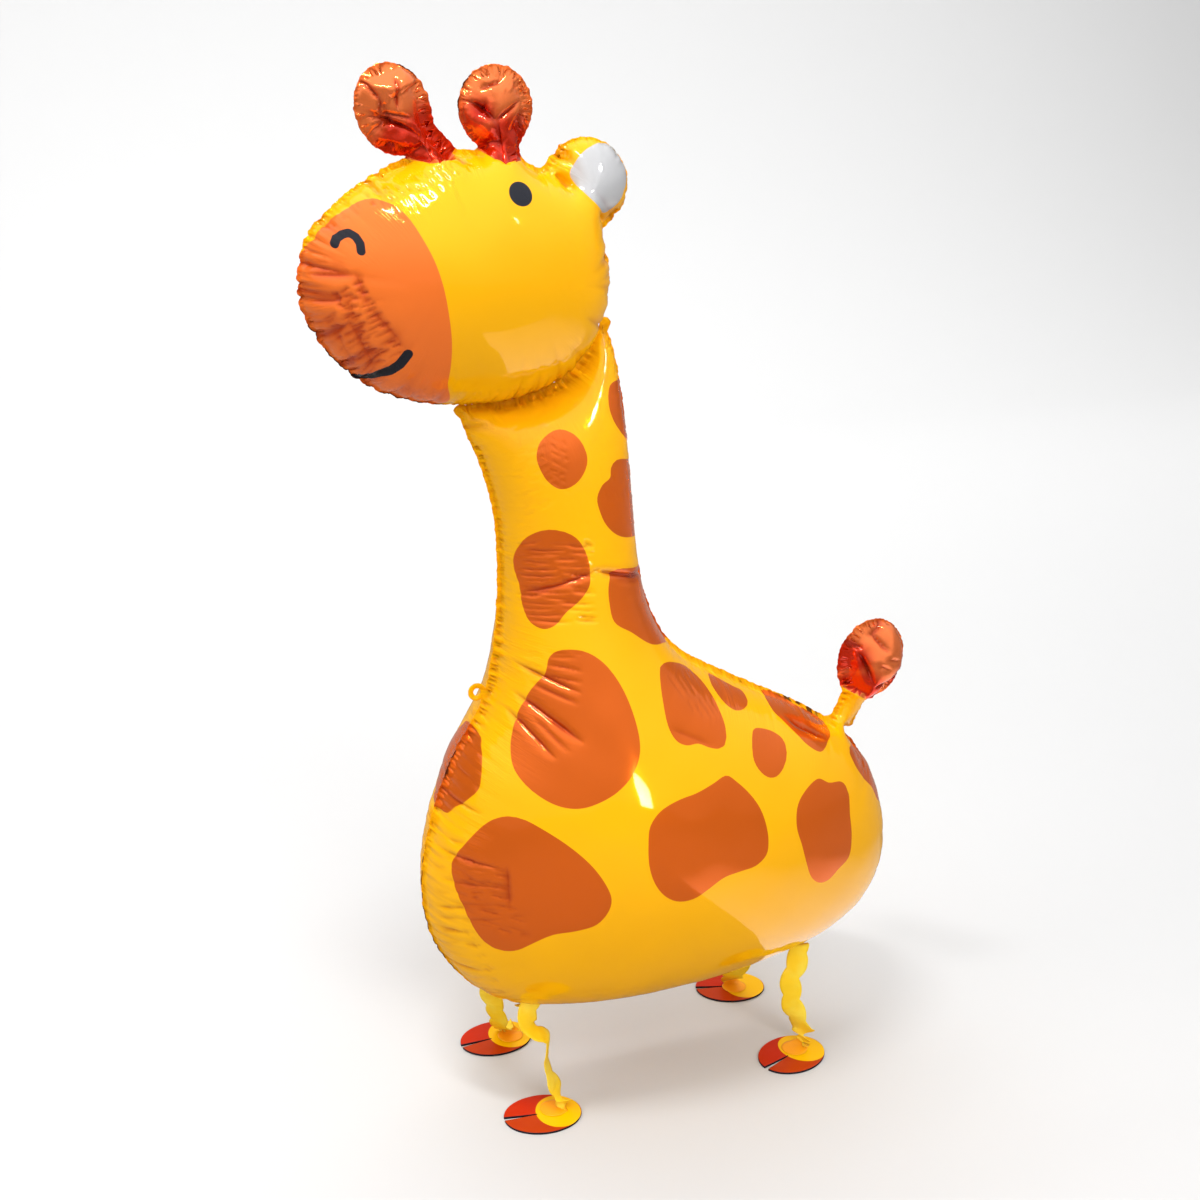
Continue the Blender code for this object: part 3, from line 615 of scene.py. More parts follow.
class Sheet:
    """One balloon's flat pattern, cut into facets that are finest beside the weld."""

    def __init__(self, edge, cut, hole, settings, detail, lattice, lines, dense):
        self.edge = evenly(curve_through(edge), detail)
        cut = self.edge if cut is None else evenly(curve_through(cut, 6), detail)
        hole = [] if hole is None else evenly(curve_through(hole, 6), detail)
        bulge = np.clip(bending(self.edge, smoothing=41) / 4, 0, 1)
        self.width = settings.rim_width + (settings.rim_tucked - settings.rim_width) * bulge
        self.seal = evenly(self.edge + inward(self.edge) * self.width[:, None], detail)
        spread = Spread(detail)
        spread.add(cut, 0)
        spread.add(hole, 0)
        spread.add(inset(cut, settings.rim_tucked * 0.5), detail * 0.6)
        spread.add(self.seal, 0)
        for line in lines:
            spread.add(line, detail * 0.8)
        for points, gap in dense:
            spread.add(points, gap)
        fine = self.seal
        for depth in RING_DEPTHS:
            gap = detail * (1 if depth < 0.022 else 1.45)
            last = RING_DEPTHS[max(RING_DEPTHS.index(depth) - 1, 0)]
            spread.add(inset(fine, depth), min(gap * 0.82, max(0.6 * (depth - last), detail * 0.4)))
        low, high = self.seal.min(axis=0), self.seal.max(axis=0)
        grid = [(x + lattice / 2 * (j % 2), z)
                for j, z in enumerate(np.arange(low[1], high[1], lattice * 0.866))
                for x in np.arange(low[0], high[0], lattice)]
        grid = np.array(grid)
        grid = grid[inside(grid, self.seal)]
        deep = nearest(lookup(self.seal), grid)[1] > RING_DEPTHS[-1] + lattice * 0.4
        spread.add(grid[deep], lattice * 0.5)
        last = len(cut) + len(hole)
        around = [(k, k + 1 if k + 1 < last else len(cut)) for k in range(len(cut), last)]
        flat, _, cells, _, _, _ = delaunay_2d_cdt(
            [Vector(p) for p in spread.points], around, [list(range(len(cut)))], 1, 1e-7)
        self.flat = np.array([tuple(p) for p in flat])
        self.cells = np.array([c for c in cells if len(c) == 3])
        if len(hole):
            self.cells = self.cells[~inside(self.flat[self.cells].mean(axis=1), hole)]
        self.cells = self.cells[np.abs(doubled_areas(self.flat, self.cells)) > SMALLEST_FACET]
        self.nearest, self.depth = nearest(lookup(self.edge), self.flat)
        self.gassed = inside(self.flat, self.seal)
        self.outward = -inward(self.edge)[self.nearest]

    def swollen(self, fullness, pinched):
        """Half-thickness of the gas at each point: a membrane under even pressure."""
        cells, flat = self.cells, self.flat
        count = len(flat)
        corner = flat[cells]
        u, v = corner[:, 1] - corner[:, 0], corner[:, 2] - corner[:, 0]
        area = np.abs(u[:, 0] * v[:, 1] - u[:, 1] * v[:, 0]) / 2
        load = np.bincount(cells.ravel(), np.repeat(area / 3, 3), count)
        first, second, weight = [], [], []
        for k in range(3):
            i, j, o = cells[:, k], cells[:, (k + 1) % 3], cells[:, (k + 2) % 3]
            p, q = flat[i] - flat[o], flat[j] - flat[o]
            first.append(i)
            second.append(j)
            weight.append(np.einsum("ij,ij->i", p, q) / (4 * area))
        first, second, weight = map(np.concatenate, (first, second, weight))
        free = self.gassed.copy()
        rise = np.zeros(count)
        for points, thickness in pinched:
            held = distance(flat, points, closed=False) < PINCH_REACH
            free &= ~held
            rise[held & self.gassed] = (thickness / 2) ** 2 / 2

        def stretch(height):
            flow = weight * (height[first] - height[second])
            return np.bincount(first, flow, count) - np.bincount(second, flow, count)

        diagonal = np.bincount(first, weight, count) + np.bincount(second, weight, count)
        diagonal = np.where(np.abs(diagonal) > 1e-9, diagonal, 1)
        rest = np.where(free, load - stretch(rise), 0)
        step = rest / diagonal
        way, power = step.copy(), rest @ step
        for _ in range(SWELL_ROUNDS):
            pulled = np.where(free, stretch(way), 0)
            size = power / (way @ pulled)
            rise += size * way
            rest -= size * pulled
            step = rest / diagonal
            fresh = rest @ step
            if fresh < SWELL_REST * max(power, 1e-12) or fresh < SMALLEST_REST:
                break
            way = step + fresh / power * way
            power = fresh
        return fullness * np.sqrt(2 * np.maximum(rise, 0))

    def normals(self, half):
        """Outward normals of the far sheet; on the rim they point out of the pattern."""
        place = np.stack([self.flat[:, 0], half, self.flat[:, 1]], 1)
        a, b, c = (place[self.cells[:, k]] for k in range(3))
        face = np.cross(c - a, b - a)
        face *= np.where(face[:, 1] < 0, -1, 1)[:, None]
        total = np.zeros_like(place)
        for k in range(3):
            for axis in range(3):
                total[:, axis] += np.bincount(self.cells[:, k], face[:, axis], len(place))
        total /= np.linalg.norm(total, axis=1)[:, None] + 1e-12
        rim = ~self.gassed
        total[rim] = np.stack([self.outward[:, 0], 0 * self.depth, self.outward[:, 1]], 1)[rim]
        return total


def add_creases(sheet, tree, total, lines):
    """Sinks V-shaped creases: each has a start, way, reach, depth, half-width and fade-in."""
    for start, way, reach, depth, width, run_in in lines:
        middle = start + way * reach / 2
        found = tree.find_range((middle[0], middle[1], 0), reach / 2 + 6 * width)
        if not found:
            continue
        picked = np.array([f[1] for f in found])
        gap = sheet.flat[picked] - start
        along = gap @ way
        across = np.abs(gap @ np.array([-way[1], way[0]]))
        t = np.clip(along / reach, -1, 1)
        fade = np.clip(1 - t, 0, 1) ** 1.4 if run_in == 0 else np.clip(
            np.minimum((t * reach) / run_in, (1 - t) * 3), 0, 1)
        fade = np.where(t < 0, 1 if run_in == 0 else 0, fade)
        spread = width * (1 + 1.3 * np.clip(t, 0, 1)) if run_in == 0 else width
        total[picked] -= depth * fade * np.exp(-across / spread)


# Families of puckers at the weld, the same on both foils and each foil's own: shares of the
# settings' spacing, depth and reach, and half-width as a share of the gap between two
SHARED_PUCKERS = ((1, 1, 1, 0.22), (0.42, 0.22, 0.5, 0.17))
OWN_PUCKERS = ((0.30, 0.13, 0.9, 0.17), (1.9, 0.45, 2.0, 0.10))

# Shares of the puckers' depth that are left on the body, on the horns and tuft, and on the ear,
# and how far past the print of a tuft and of a horn or ear that share holds
BODY_CALM, LOBE_CALM, EAR_CALM = 0.5, 0.15, 0.25
TUFT_MARGIN, HORN_MARGIN = 0.004, 0.012

# The neck's rim is drawn up where it is nearer the head than the gap, and past it by the overlap
NECK_GAP, NECK_OVERLAP = 0.009, 0.0018

# Crumpled lobes start this far inside their print
LOBE_INSET = 0.001

# Facets of a crumpled lobe: how deep they are pressed, how far they tilt and reach, and the most
# that a point moves; its folds: least and most length, depth and half-width
FACET_SUNK, FACET_TILT, FACET_REACH, FACET_LIMIT = 0.0044, 0.26, 0.050, 0.0085
FOLD_LENGTH, FOLD_DEPTH, FOLD_WIDTH = (0.018, 0.042), (0.0020, 0.0046), (0.0014, 0.0030)

# Painted shade in the creases: a crease starts to be painted darker from this depth on and is
# painted darkest that much deeper, and this share of the puckers' depth at the seam gets none
CREASE_SHADE_START, CREASE_SHADE_RANGE, SEAM_UNCOUNTED = 0.0005, 0.0028, 0.7


def seam_creases(sheet, rng, spacing, depth, reach, calm, sharp):
    """Puckers that run in from the weld: deepest where the weld is most curved."""
    edge = sheet.edge
    step = np.linalg.norm(np.roll(edge, -1, axis=0) - edge, axis=1).mean()
    bend, normal = bending(edge), inward(edge, 6)
    lines = []
    at = 0.0
    while at < step * len(edge):
        k = int(at / step) % len(edge)
        curl = np.clip(bend[k], 0, 30)
        strength = np.clip(0.25 + curl / 9, 0, 1.5) * calm[k]
        gap = spacing * np.clip(0.7 + curl / 20, 0.7, 1.1) * rng.uniform(0.7, 1.3)
        turn = rng.normal(0, 0.06)
        c, s = math.cos(turn), math.sin(turn)
        way = np.array([normal[k, 0] * c - normal[k, 1] * s, normal[k, 0] * s + normal[k, 1] * c])
        length = reach * rng.uniform(0.5, 1.3) * (0.6 if curl > 18 else 1)
        lines.append((edge[k], way, length, depth * strength * rng.uniform(0.55, 1.35),
                      gap * sharp, 0))
        at += gap
    return lines


def hatch_creases(hatches, surface, rng):
    """Rows of short wrinkles, each row broken into two or three strokes."""
    lines = []
    for start, end, last, count, depth, width in hatches:
        start, end, last = (np.array(p, float) for p in (start, end, last))
        for row in range(count):
            base = start + (last - start) * (row + rng.uniform(-0.25, 0.25)) / max(count - 1, 1)
            at = rng.uniform(-0.1, 0.05)
            while at < 0.9:
                stop = at + rng.uniform(0.3, 0.7)
                wave = rng.normal(0, 1.2, 2)
                a = np.array(cast(base + (end - start) * at + (0, wave[0]), surface))
                b = np.array(cast(base + (end - start) * min(stop, 1.05) + (0, wave[1]), surface))
                length = np.linalg.norm(b - a)
                if length > 0.003:
                    lines.append((a, (b - a) / length, length, depth * rng.uniform(0.5, 1.2),
                                  width, length * 0.25))
                at = stop + rng.uniform(-0.05, 0.12)
    return lines


def hatch_patches(hatches, surface, spacing):
    """Points spread finely enough for the wrinkles of each band."""
    patches = []
    for start, end, last, *_ in hatches:
        start, end, last = (np.array(cast(p, surface)) for p in (start, end, last))
        across, along = end - start, last - start
        u = np.arange(-0.08, 1.08, spacing / np.linalg.norm(across))
        v = np.arange(-0.08, 1.08, spacing / np.linalg.norm(along))
        grid = start + u[:, None, None] * across + v[None, :, None] * along
        patches.append((grid.reshape(-1, 2), spacing * 0.8))
    return patches


def lobe_folds(sheet, mask, rng, count):
    """Deep folds at any angle across a crumpled lobe."""
    picked = sheet.flat[mask]
    lines = []
    for _ in range(count):
        middle = picked[rng.integers(len(picked))]
        angle = rng.uniform(0, math.pi)
        way = np.array([math.cos(angle), math.sin(angle)])
        length = rng.uniform(*FOLD_LENGTH)
        lines.append((middle - way * length / 2, way, length, rng.uniform(*FOLD_DEPTH),
                      rng.uniform(*FOLD_WIDTH), length * 0.3))
    return lines


def rough(points, size, seed, octaves=2):
    """Smooth noise over the plane, about -1 to 1."""
    rng = np.random.default_rng(seed)
    total = np.zeros(len(points))
    for octave in range(octaves):
        for _ in range(7):
            angle, phase = rng.uniform(0, 2 * math.pi, 2)
            wave = 2 * math.pi / (size / 2 ** octave) * rng.uniform(0.7, 1.3)
            way = np.array([math.cos(angle), math.sin(angle)]) * wave
            total += np.sin(points @ way + phase) / 7 ** 0.5 / 2 ** octave
    return total * 0.8


def facets(place, normal, mask, rng, count):
    """Presses a crumpled lobe into flat facets: how far each point moves along its normal."""
    picked = np.nonzero(mask)[0]
    shift = np.zeros(len(picked))
    for k in rng.choice(picked, count, replace=False):
        plane = normal[k] + rng.normal(0, FACET_TILT, 3)
        plane /= np.linalg.norm(plane)
        through = place[k] - plane * FACET_SUNK * rng.uniform(0.3, 1.5)
        facing = normal[picked] @ plane
        reach = (through - place[picked]) @ plane / np.maximum(facing, 0.3)
        near = np.linalg.norm(place[picked] - place[k], axis=1) < FACET_REACH
        shift = np.where((facing > 0.3) & near, np.minimum(shift, reach), shift)
    moved = np.zeros(len(place))
    moved[picked] = np.clip(shift, -FACET_LIMIT, 0)
    return moved


def near_places(flat, places):
    """How far inside the nearest of several circles in the photograph each point is."""
    best = np.full(len(flat), -1.0)
    for pixel, radius in places:
        centre = np.array(cast(pixel, None))
        size = np.linalg.norm(np.array(cast((pixel[0], pixel[1] + radius), None)) - centre)
        best = np.maximum(best, size - np.linalg.norm(flat - centre, axis=1))
    return best


def line_points(creases, surface, detail):
    """Fine rows of points along and beside each named crease, so that it comes out sharp."""
    rows = []
    for start, end, _, width in creases:
        a, b = np.array(cast(start, surface)), np.array(cast(end, surface))
        way = (b - a) / np.linalg.norm(b - a)
        side = np.array([-way[1], way[0]])
        steps = np.linspace(0, 1, max(3, round(np.linalg.norm(b - a) / (detail * 1.5))))
        for offset in (0, -0.6, 0.6, -1.5, 1.5, -3, 3):
            rows.append(a + (b - a) * steps[:, None] + side * offset * width)
    return rows


def balloon(name, sheet, settings, seed, pinched, creases, hatches, surface, lobes, calm, tucked,
            marks):
    """Both foils of a balloon as one closed mesh, with its print's masks as attributes, and masks
    for painted shade in the creases, a painted reflection at the roots and painted dark dashes on
    the rim.
    """
    half = sheet.swollen(settings.fullness, pinched)
    normal = sheet.normals(half)
    tree = lookup(sheet.flat)
    shared = np.zeros(len(sheet.flat))
    rng = np.random.default_rng(seed)

    def pucker(total, draws, families):
        for spacing, depth, reach, sharp in families:
            add_creases(sheet, tree, total, seam_creases(
                sheet, draws, settings.pucker_spacing * spacing, settings.pucker_depth * depth,
                settings.pucker_reach * reach, calm, sharp))

    pucker(shared, rng, SHARED_PUCKERS)
    rim = ~sheet.gassed
    outer = np.clip(1 - sheet.depth / sheet.width[sheet.nearest], 0, 1)
    run = sheet.nearest * np.linalg.norm(sheet.edge[1] - sheet.edge[0])
    ripple = np.stack([run, 0 * run], 1)
    wave = np.where(rim, outer, 0) * settings.rim_wave * rough(ripple, 0.012, seed + 1)
    fall = 0.08 * settings.rim_width * np.where(rim, outer, 0) * rough(ripple, 0.007, seed + 2)
    fall += np.where(rim, outer, 0) * tucked[sheet.nearest]
    places, folds = [], []
    for side in (-1, 1):
        total = shared.copy()
        own = np.random.default_rng(seed + 10 + side)
        pucker(total, own, OWN_PUCKERS)
        add_creases(sheet, tree, total, hatch_creases(hatches, surface, own))
        if side < 0:
            named = []
            for start, end, sunk, width in creases:
                a, b = np.array(cast(start, surface)), np.array(cast(end, surface))
                length = np.linalg.norm(b - a)
                named.append((a, (b - a) / length, length, sunk, width, length * 0.25))
            add_creases(sheet, tree, total, named)
        uneven = np.where(sheet.gassed, 0.0005 * rough(sheet.flat, 0.11, seed + 4 + side), 0)
        place = np.stack([sheet.flat[:, 0], half, sheet.flat[:, 1]], 1)
        for mask in lobes:
            lobe = mask & sheet.gassed
            uneven += facets(place, normal, lobe & (half > 0.003), own, settings.lobe_facets)
            add_creases(sheet, tree, total, lobe_folds(sheet, lobe, own, settings.lobe_folds))
        # Painted shade: how far each crease sinks past the start, as a mask that darkens its colour
        folds.append(np.clip((SEAM_UNCOUNTED * shared - total - CREASE_SHADE_START) / CREASE_SHADE_RANGE, 0, 1))
        total += uneven
        total = np.where(sheet.gassed, np.maximum(total, -half * 0.9 - 0.0012), shared * 0.6)
        place = place + normal * total[:, None]
        place[:, 1] = np.where(sheet.gassed, np.maximum(place[:, 1], 0.00005), 0)
        place[:, 1] = side * (place[:, 1] + settings.rim_thickness / 2) + wave
        place[:, 0] += sheet.outward[:, 0] * fall
        place[:, 2] += sheet.outward[:, 1] * fall
        places.append(place)
    count = len(sheet.flat)
    points = np.vstack(places)
    turned = doubled_areas(sheet.flat, sheet.cells) > 0
    cells = np.where(turned[:, None], sheet.cells, sheet.cells[:, ::-1])
    sides = {(int(p), int(q)) for p, q in np.vstack([cells[:, (0, 1)], cells[:, (1, 2)],
                                                    cells[:, (2, 0)]])}
    border = [(p, q) for p, q in sides if (q, p) not in sides]
    faces = cells.tolist() + (cells[:, ::-1] + count).tolist()
    for p, q in border:
        faces += [[q, p, p + count], [q, p + count, q + count]]
    mesh = bpy.data.meshes.new(name)
    mesh.from_pydata(points.tolist(), [], faces)
    mesh.shade_smooth()
    weld = sheet.width[sheet.nearest] - sheet.depth
    layers = {label: np.tile(values, 2) for label, values in {**marks, "weld": weld}.items()}
    layers["crease_shade"] = np.concatenate(folds)
    for label, values in layers.items():
        layer = mesh.attributes.new(label, "FLOAT", "POINT")
        layer.data.foreach_set("value", values.astype(np.float32))
    layer = mesh.uv_layers.new(name="weld_run")
    corner = np.empty(len(mesh.loops), int)
    mesh.loops.foreach_get("vertex_index", corner)
    across = np.stack([run, sheet.depth], 1)[corner % count]
    layer.data.foreach_set("uv", across.ravel().astype(np.float32))
    made = bpy.data.objects.new(name, mesh)
    bpy.context.scene.collection.objects.link(made)
    return made


# Strips

def strip_edges(name):
    """The two long edges of a strip as its solid has them, from the glued end to the pad."""
    points, corner = np.unique(node_triangles(name).reshape(-1, 3).round(6), axis=0,
                               return_inverse=True)
    gap = np.linalg.norm(points[:, None] - points[None], axis=2) + np.eye(len(points))
    partner = gap.argmin(axis=1)
    pair = np.minimum(np.arange(len(points)), partner)
    links = {}
    for triangle in corner.reshape(-1, 3):
        ends = sorted({int(pair[k]) for k in triangle})
        if len(ends) == 2:
            for a, b in (ends, ends[::-1]):
                links.setdefault(a, set()).add(b)
    way = [next(iter(links))]
    while len(way) < len(links):
        way.append(next(k for k in links[way[-1]] if k not in way))
    loop = (points[way] + points[partner[way]]) / 2
    count = len(loop) // 2

    def halves(k):
        turned = np.roll(loop, -k, axis=0)
        return turned[:count], turned[:count - 1:-1]

    best = min(range(count), key=lambda k: np.linalg.norm(np.subtract(*halves(k)), axis=1).sum())
    left, right = halves(best)
    if left[0, 2] < left[-1, 2]:
        left, right = right[::-1], left[::-1]
    return left, right


# Length of a strip's facets, and how many points lie across it
STRIP_FACET, STRIP_ROWS = 0.0013, 11


def strip_tree(material):
    """Nodes that lay a scalloped strip of paper along a path with an 'across' vector."""
    tree = bpy.data.node_groups.new("scalloped_strip", "GeometryNodeTree")
    tree.is_modifier = True
    tree.interface.new_socket("Geometry", in_out="INPUT", socket_type="NodeSocketGeometry")
    for label in ("Width", "Waist", "Scallop", "Stagger", "Crumple", "Curl", "Pad", "Facet"):
        tree.interface.new_socket(label, in_out="INPUT", socket_type="NodeSocketFloat")
    tree.interface.new_socket("Seed", in_out="INPUT", socket_type="NodeSocketInt")
    tree.interface.new_socket("Geometry", in_out="OUTPUT", socket_type="NodeSocketGeometry")
    given, result = node(tree, "NodeGroupInput").outputs, node(tree, "NodeGroupOutput")
    link = tree.links.new

    mesh_path = node(tree, "GeometryNodeMeshToCurve")
    link(given["Geometry"], mesh_path.inputs["Mesh"])
    smooth = node(tree, "GeometryNodeCurveSplineType", spline_type="CATMULL_ROM")
    link(mesh_path.outputs["Curve"], smooth.inputs["Curve"])
    length = node(tree, "GeometryNodeCurveLength")
    link(smooth.outputs["Curve"], length.inputs["Curve"])
    total = length.outputs["Length"]

    grid = node(tree, "GeometryNodeMeshGrid")
    link(total, grid.inputs["Size X"])
    set_inputs(grid, Size_Y=2, Vertices_Y=STRIP_ROWS)
    link(maths(tree, "DIVIDE", total, given["Facet"]), grid.inputs["Vertices X"])
    place = split_xyz(tree, node(tree, "GeometryNodeInputPosition").outputs[0])
    run = maths(tree, "ADD", place[0], maths(tree, "MULTIPLY", total, 0.5))
    side = place[1]
    left = maths(tree, "SUBTRACT", total, run)

    # Scallops, set further along on one edge than on the other
    shift = maths(tree, "MULTIPLY", maths(tree, "GREATER_THAN", side, 0.0), given["Stagger"])
    beat = maths(tree, "MULTIPLY", maths(tree, "ADD", maths(
        tree, "DIVIDE", run, given["Scallop"]), shift), math.pi)
    swing = maths(tree, "POWER", maths(tree, "ABSOLUTE", maths(tree, "SINE", beat)), 0.75)
    pads_left = maths(tree, "DIVIDE", left, given["Pad"])
    swing = maths(tree, "MULTIPLY", swing, ramp(tree, pads_left, 0.85, 1.7))
    half = maths(tree, "MULTIPLY", maths(tree, "ADD", given["Waist"], maths(
        tree, "MULTIPLY", swing, maths(tree, "SUBTRACT", given["Width"], given["Waist"]))), 0.5)

    # The round pad that ends the strip
    radius = maths(tree, "MULTIPLY", given["Pad"], 0.5)
    off = maths(tree, "SUBTRACT", left, radius)
    chord = maths(tree, "SQRT", maths(tree, "MAXIMUM", maths(tree, "SUBTRACT", maths(
        tree, "MULTIPLY", radius, radius), maths(tree, "MULTIPLY", off, off)), 4e-7))
    before = maths(tree, "GREATER_THAN", off, 0.0)
    neck = maths(tree, "MULTIPLY", before, maths(tree, "MULTIPLY", given["Waist"], 0.5))
    on_pad = maths(tree, "LESS_THAN", left, given["Pad"])
    round_end = maths(tree, "MAXIMUM", chord, neck)
    half = maths(tree, "ADD", maths(tree, "MULTIPLY", on_pad, round_end), maths(
        tree, "MULTIPLY", maths(tree, "SUBTRACT", 1.0, on_pad), half))

    def sample(kind, value=None):
        made = node(tree, "GeometryNodeSampleCurve", data_type="FLOAT_VECTOR", mode="LENGTH",
                    use_all_curves=True)
        link(smooth.outputs["Curve"], made.inputs["Curves"])
        link(run, made.inputs["Length"])
        if value is not None:
            link(value, made.inputs["Value"])
        return made.outputs[kind]

    named = node(tree, "GeometryNodeInputNamedAttribute", data_type="FLOAT_VECTOR")
    set_inputs(named, Name="across")
    across = sample("Value", named.outputs["Attribute"])
    facing = node(tree, "ShaderNodeVectorMath", operation="CROSS_PRODUCT")
    link(sample("Tangent"), facing.inputs[0])
    link(across, facing.inputs[1])

    # Crumpled paper: bends across it, less where it is stuck down
    spot = node(tree, "ShaderNodeCombineXYZ")
    link(run, spot.inputs[0])
    link(maths(tree, "MULTIPLY", side, 0.006), spot.inputs[1])
    link(given["Seed"], spot.inputs[2])
    loose = ramp(tree, pads_left, 0.6, 2.0, kind="LINEAR")
    free = maths(tree, "MULTIPLY", loose, ramp(tree, run, 0.012, 0.030, kind="LINEAR"))
    bent = maths(tree, "MULTIPLY", maths(tree, "SUBTRACT", noise_field(
        tree, spot.outputs[0], 90), 0.5), given["Crumple"])
    curled = maths(tree, "MULTIPLY", maths(tree, "MULTIPLY", side, side), given["Curl"])
    lift = maths(tree, "MULTIPLY", maths(tree, "ADD", bent, curled), free)

    def moved(start, way, amount):
        made = node(tree, "ShaderNodeVectorMath", operation="MULTIPLY_ADD")
        for k, vector in enumerate((way, amount, start)):
            link(vector, made.inputs[k])
        return made.outputs[0]

    def stored(geometry, label, value):
        made = node(tree, "GeometryNodeStoreNamedAttribute", data_type="FLOAT", domain="POINT")
        set_inputs(made, Name=label)
        link(geometry, made.inputs["Geometry"])
        link(value, made.inputs["Value"])
        return made.outputs["Geometry"]

    there = moved(sample("Position"), across, maths(tree, "MULTIPLY", half, side))
    there = moved(there, facing.outputs[0], lift)
    marked = stored(grid.outputs["Mesh"], "pad", maths(tree, "SUBTRACT", given["Pad"], left))
    marked = stored(marked, "edge", maths(tree, "ABSOLUTE", side))
    laid = node(tree, "GeometryNodeSetPosition")
    link(marked, laid.inputs["Geometry"])
    link(there, laid.inputs["Position"])
    real = node(tree, "GeometryNodeRealizeInstances")
    link(laid.outputs["Geometry"], real.inputs["Geometry"])
    coloured = node(tree, "GeometryNodeSetMaterial")
    set_inputs(coloured, Material=material)
    link(real.outputs["Geometry"], coloured.inputs["Geometry"])
    link(coloured.outputs["Geometry"], result.inputs["Geometry"])
    return tree


def socket_of(tree, label):
    return next(item.identifier for item in tree.interface.items_tree
                if item.name == label and item.in_out == "INPUT")


def bake(piece):
    """The piece with its modifiers worked into a plain mesh."""
    graph = bpy.context.evaluated_depsgraph_get()
    mesh = bpy.data.meshes.new_from_object(piece.evaluated_get(graph))
    name = piece.name
    bpy.data.objects.remove(piece)
    mesh.name = name
    mesh.shade_smooth()
    made = bpy.data.objects.new(name, mesh)
    bpy.context.scene.collection.objects.link(made)
    return made


def paper_strip(name, node_name, tree, settings, seed):
    left, right = strip_edges(node_name)
    middle, across = (left + right) / 2, right - left
    across /= np.linalg.norm(across, axis=1)[:, None]
    mesh = bpy.data.meshes.new(name)
    mesh.from_pydata(middle.tolist(), [(k, k + 1) for k in range(len(middle) - 1)], [])
    layer = mesh.attributes.new("across", "FLOAT_VECTOR", "POINT")
    layer.data.foreach_set("vector", across.ravel().astype(np.float32))
    piece = bpy.data.objects.new(name, mesh)
    bpy.context.scene.collection.objects.link(piece)
    made = piece.modifiers.new("strip", "NODES")
    made.node_group = tree
    for label, value in (("Width", settings.strip_width), ("Waist", settings.strip_waist),
                         ("Scallop", settings.scallop), ("Stagger", settings.stagger),
                         ("Crumple", settings.crumple), ("Curl", settings.curl),
                         ("Pad", settings.pad), ("Facet", STRIP_FACET), ("Seed", seed)):
        made[socket_of(tree, label)] = value
    wall = piece.modifiers.new("paper", "SOLIDIFY")
    wall.thickness = settings.paper
    wall.offset = 0
    wall.use_even_offset = True
    return bake(piece)


# Hooves

# Points round a hoof and round its cleft's inner end, and the rounding of its edge
HOOF_STEPS, CLEFT_STEPS, CARD_ROUNDING = 96, 9, 0.0004


def card_hoof(name, node_name, toe, settings):
    """A cloven card hoof with a softened edge, and its own flat frame as a UV map."""
    low, high = (np.array(corner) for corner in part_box(node_name))
    centre, thickness = (low + high) / 2, high[2] - low[2]
    half_length, half_width = settings.hoof_length / 2, settings.hoof_width / 2
    gap_angle = math.asin(settings.cleft_mouth / settings.hoof_width)
    turn = np.linspace(gap_angle, 2 * math.pi - gap_angle, HOOF_STEPS)
    outline = [(half_length * math.cos(t), half_width * math.sin(t)) for t in turn]
    inner = half_length - settings.cleft_length
    for t in np.linspace(-math.pi / 2, -3 * math.pi / 2, CLEFT_STEPS):
        outline.append((inner + settings.cleft_end / 2 * math.cos(t),
                        settings.cleft_end / 2 * math.sin(t)))
    c, s = math.cos(math.radians(toe)), math.sin(math.radians(toe))
    maker = bmesh.new()
    base = [maker.verts.new((centre[0] + x * c - y * s, centre[1] + x * s + y * c, 0))
            for x, y in outline]
    sole = maker.faces.new(base)
    grown = bmesh.ops.extrude_face_region(maker, geom=[sole])
    top = [v for v in grown["geom"] if isinstance(v, bmesh.types.BMVert)]
    bmesh.ops.translate(maker, verts=top, vec=(0, 0, thickness))
    bmesh.ops.recalc_face_normals(maker, faces=maker.faces)
    rims = [e for e in maker.edges if len(e.link_faces) == 2 and any(
        len(f.verts) > 4 for f in e.link_faces)]
    bmesh.ops.bevel(maker, geom=rims, offset=CARD_ROUNDING, segments=2, profile=0.5,
                    affect="EDGES")
    layer = maker.loops.layers.uv.new("hoof_frame")
    for face in maker.faces:
        face.smooth = abs(face.normal.z) < 0.99
        for loop in face.loops:
            x, y = loop.vert.co.x - centre[0], loop.vert.co.y - centre[1]
            loop[layer].uv = (x * c + y * s, y * c - x * s)
    mesh = bpy.data.meshes.new(name)
    maker.to_mesh(mesh)
    maker.free()
    piece = bpy.data.objects.new(name, mesh)
    bpy.context.scene.collection.objects.link(piece)
    return piece


def finish_piece(piece, *nodes):
    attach(piece, "root")
    if nodes:
        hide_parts(*nodes)


# Materials

# Foil: how soft the edges of print, ink and the painted reflection at the roots are, shares of
# bare metal that show through, the clear coat and how much of it the weld loses, what the painted
# shade in creases and the weld's painted reflection with its bead glints are tinted by, and where
# on the weld the painted dark dashes start
PRINT_BLUR, INK_BLUR, ROOT_REFLECTION_BLUR = 0.0004, 0.0003, 0.0100
YELLOW_METAL, SPOT_METAL, MUZZLE_METAL, ROOT_REFLECTION_METAL, EAR_METAL = 0.08, 0.55, 0.16, 0.60, 0.15
TUFT_METAL, HORN_METAL = 0.62, 0.58
COAT, WELD_COAT_LOSS = 0.7, 0.55
CREASE_SHADE_SHARE, CREASE_SHADE_TINT = 0.8, (0.46, 0.13, 0.08)
WELD_REFLECTION_TINTS = (0.90, 0.76, 0.60), (1.0, 0.97, 0.90)
RIM_REFLECTION_START, RIM_REFLECTION_COLOUR = 0.0012, (0.060, 0.012, 0.006)


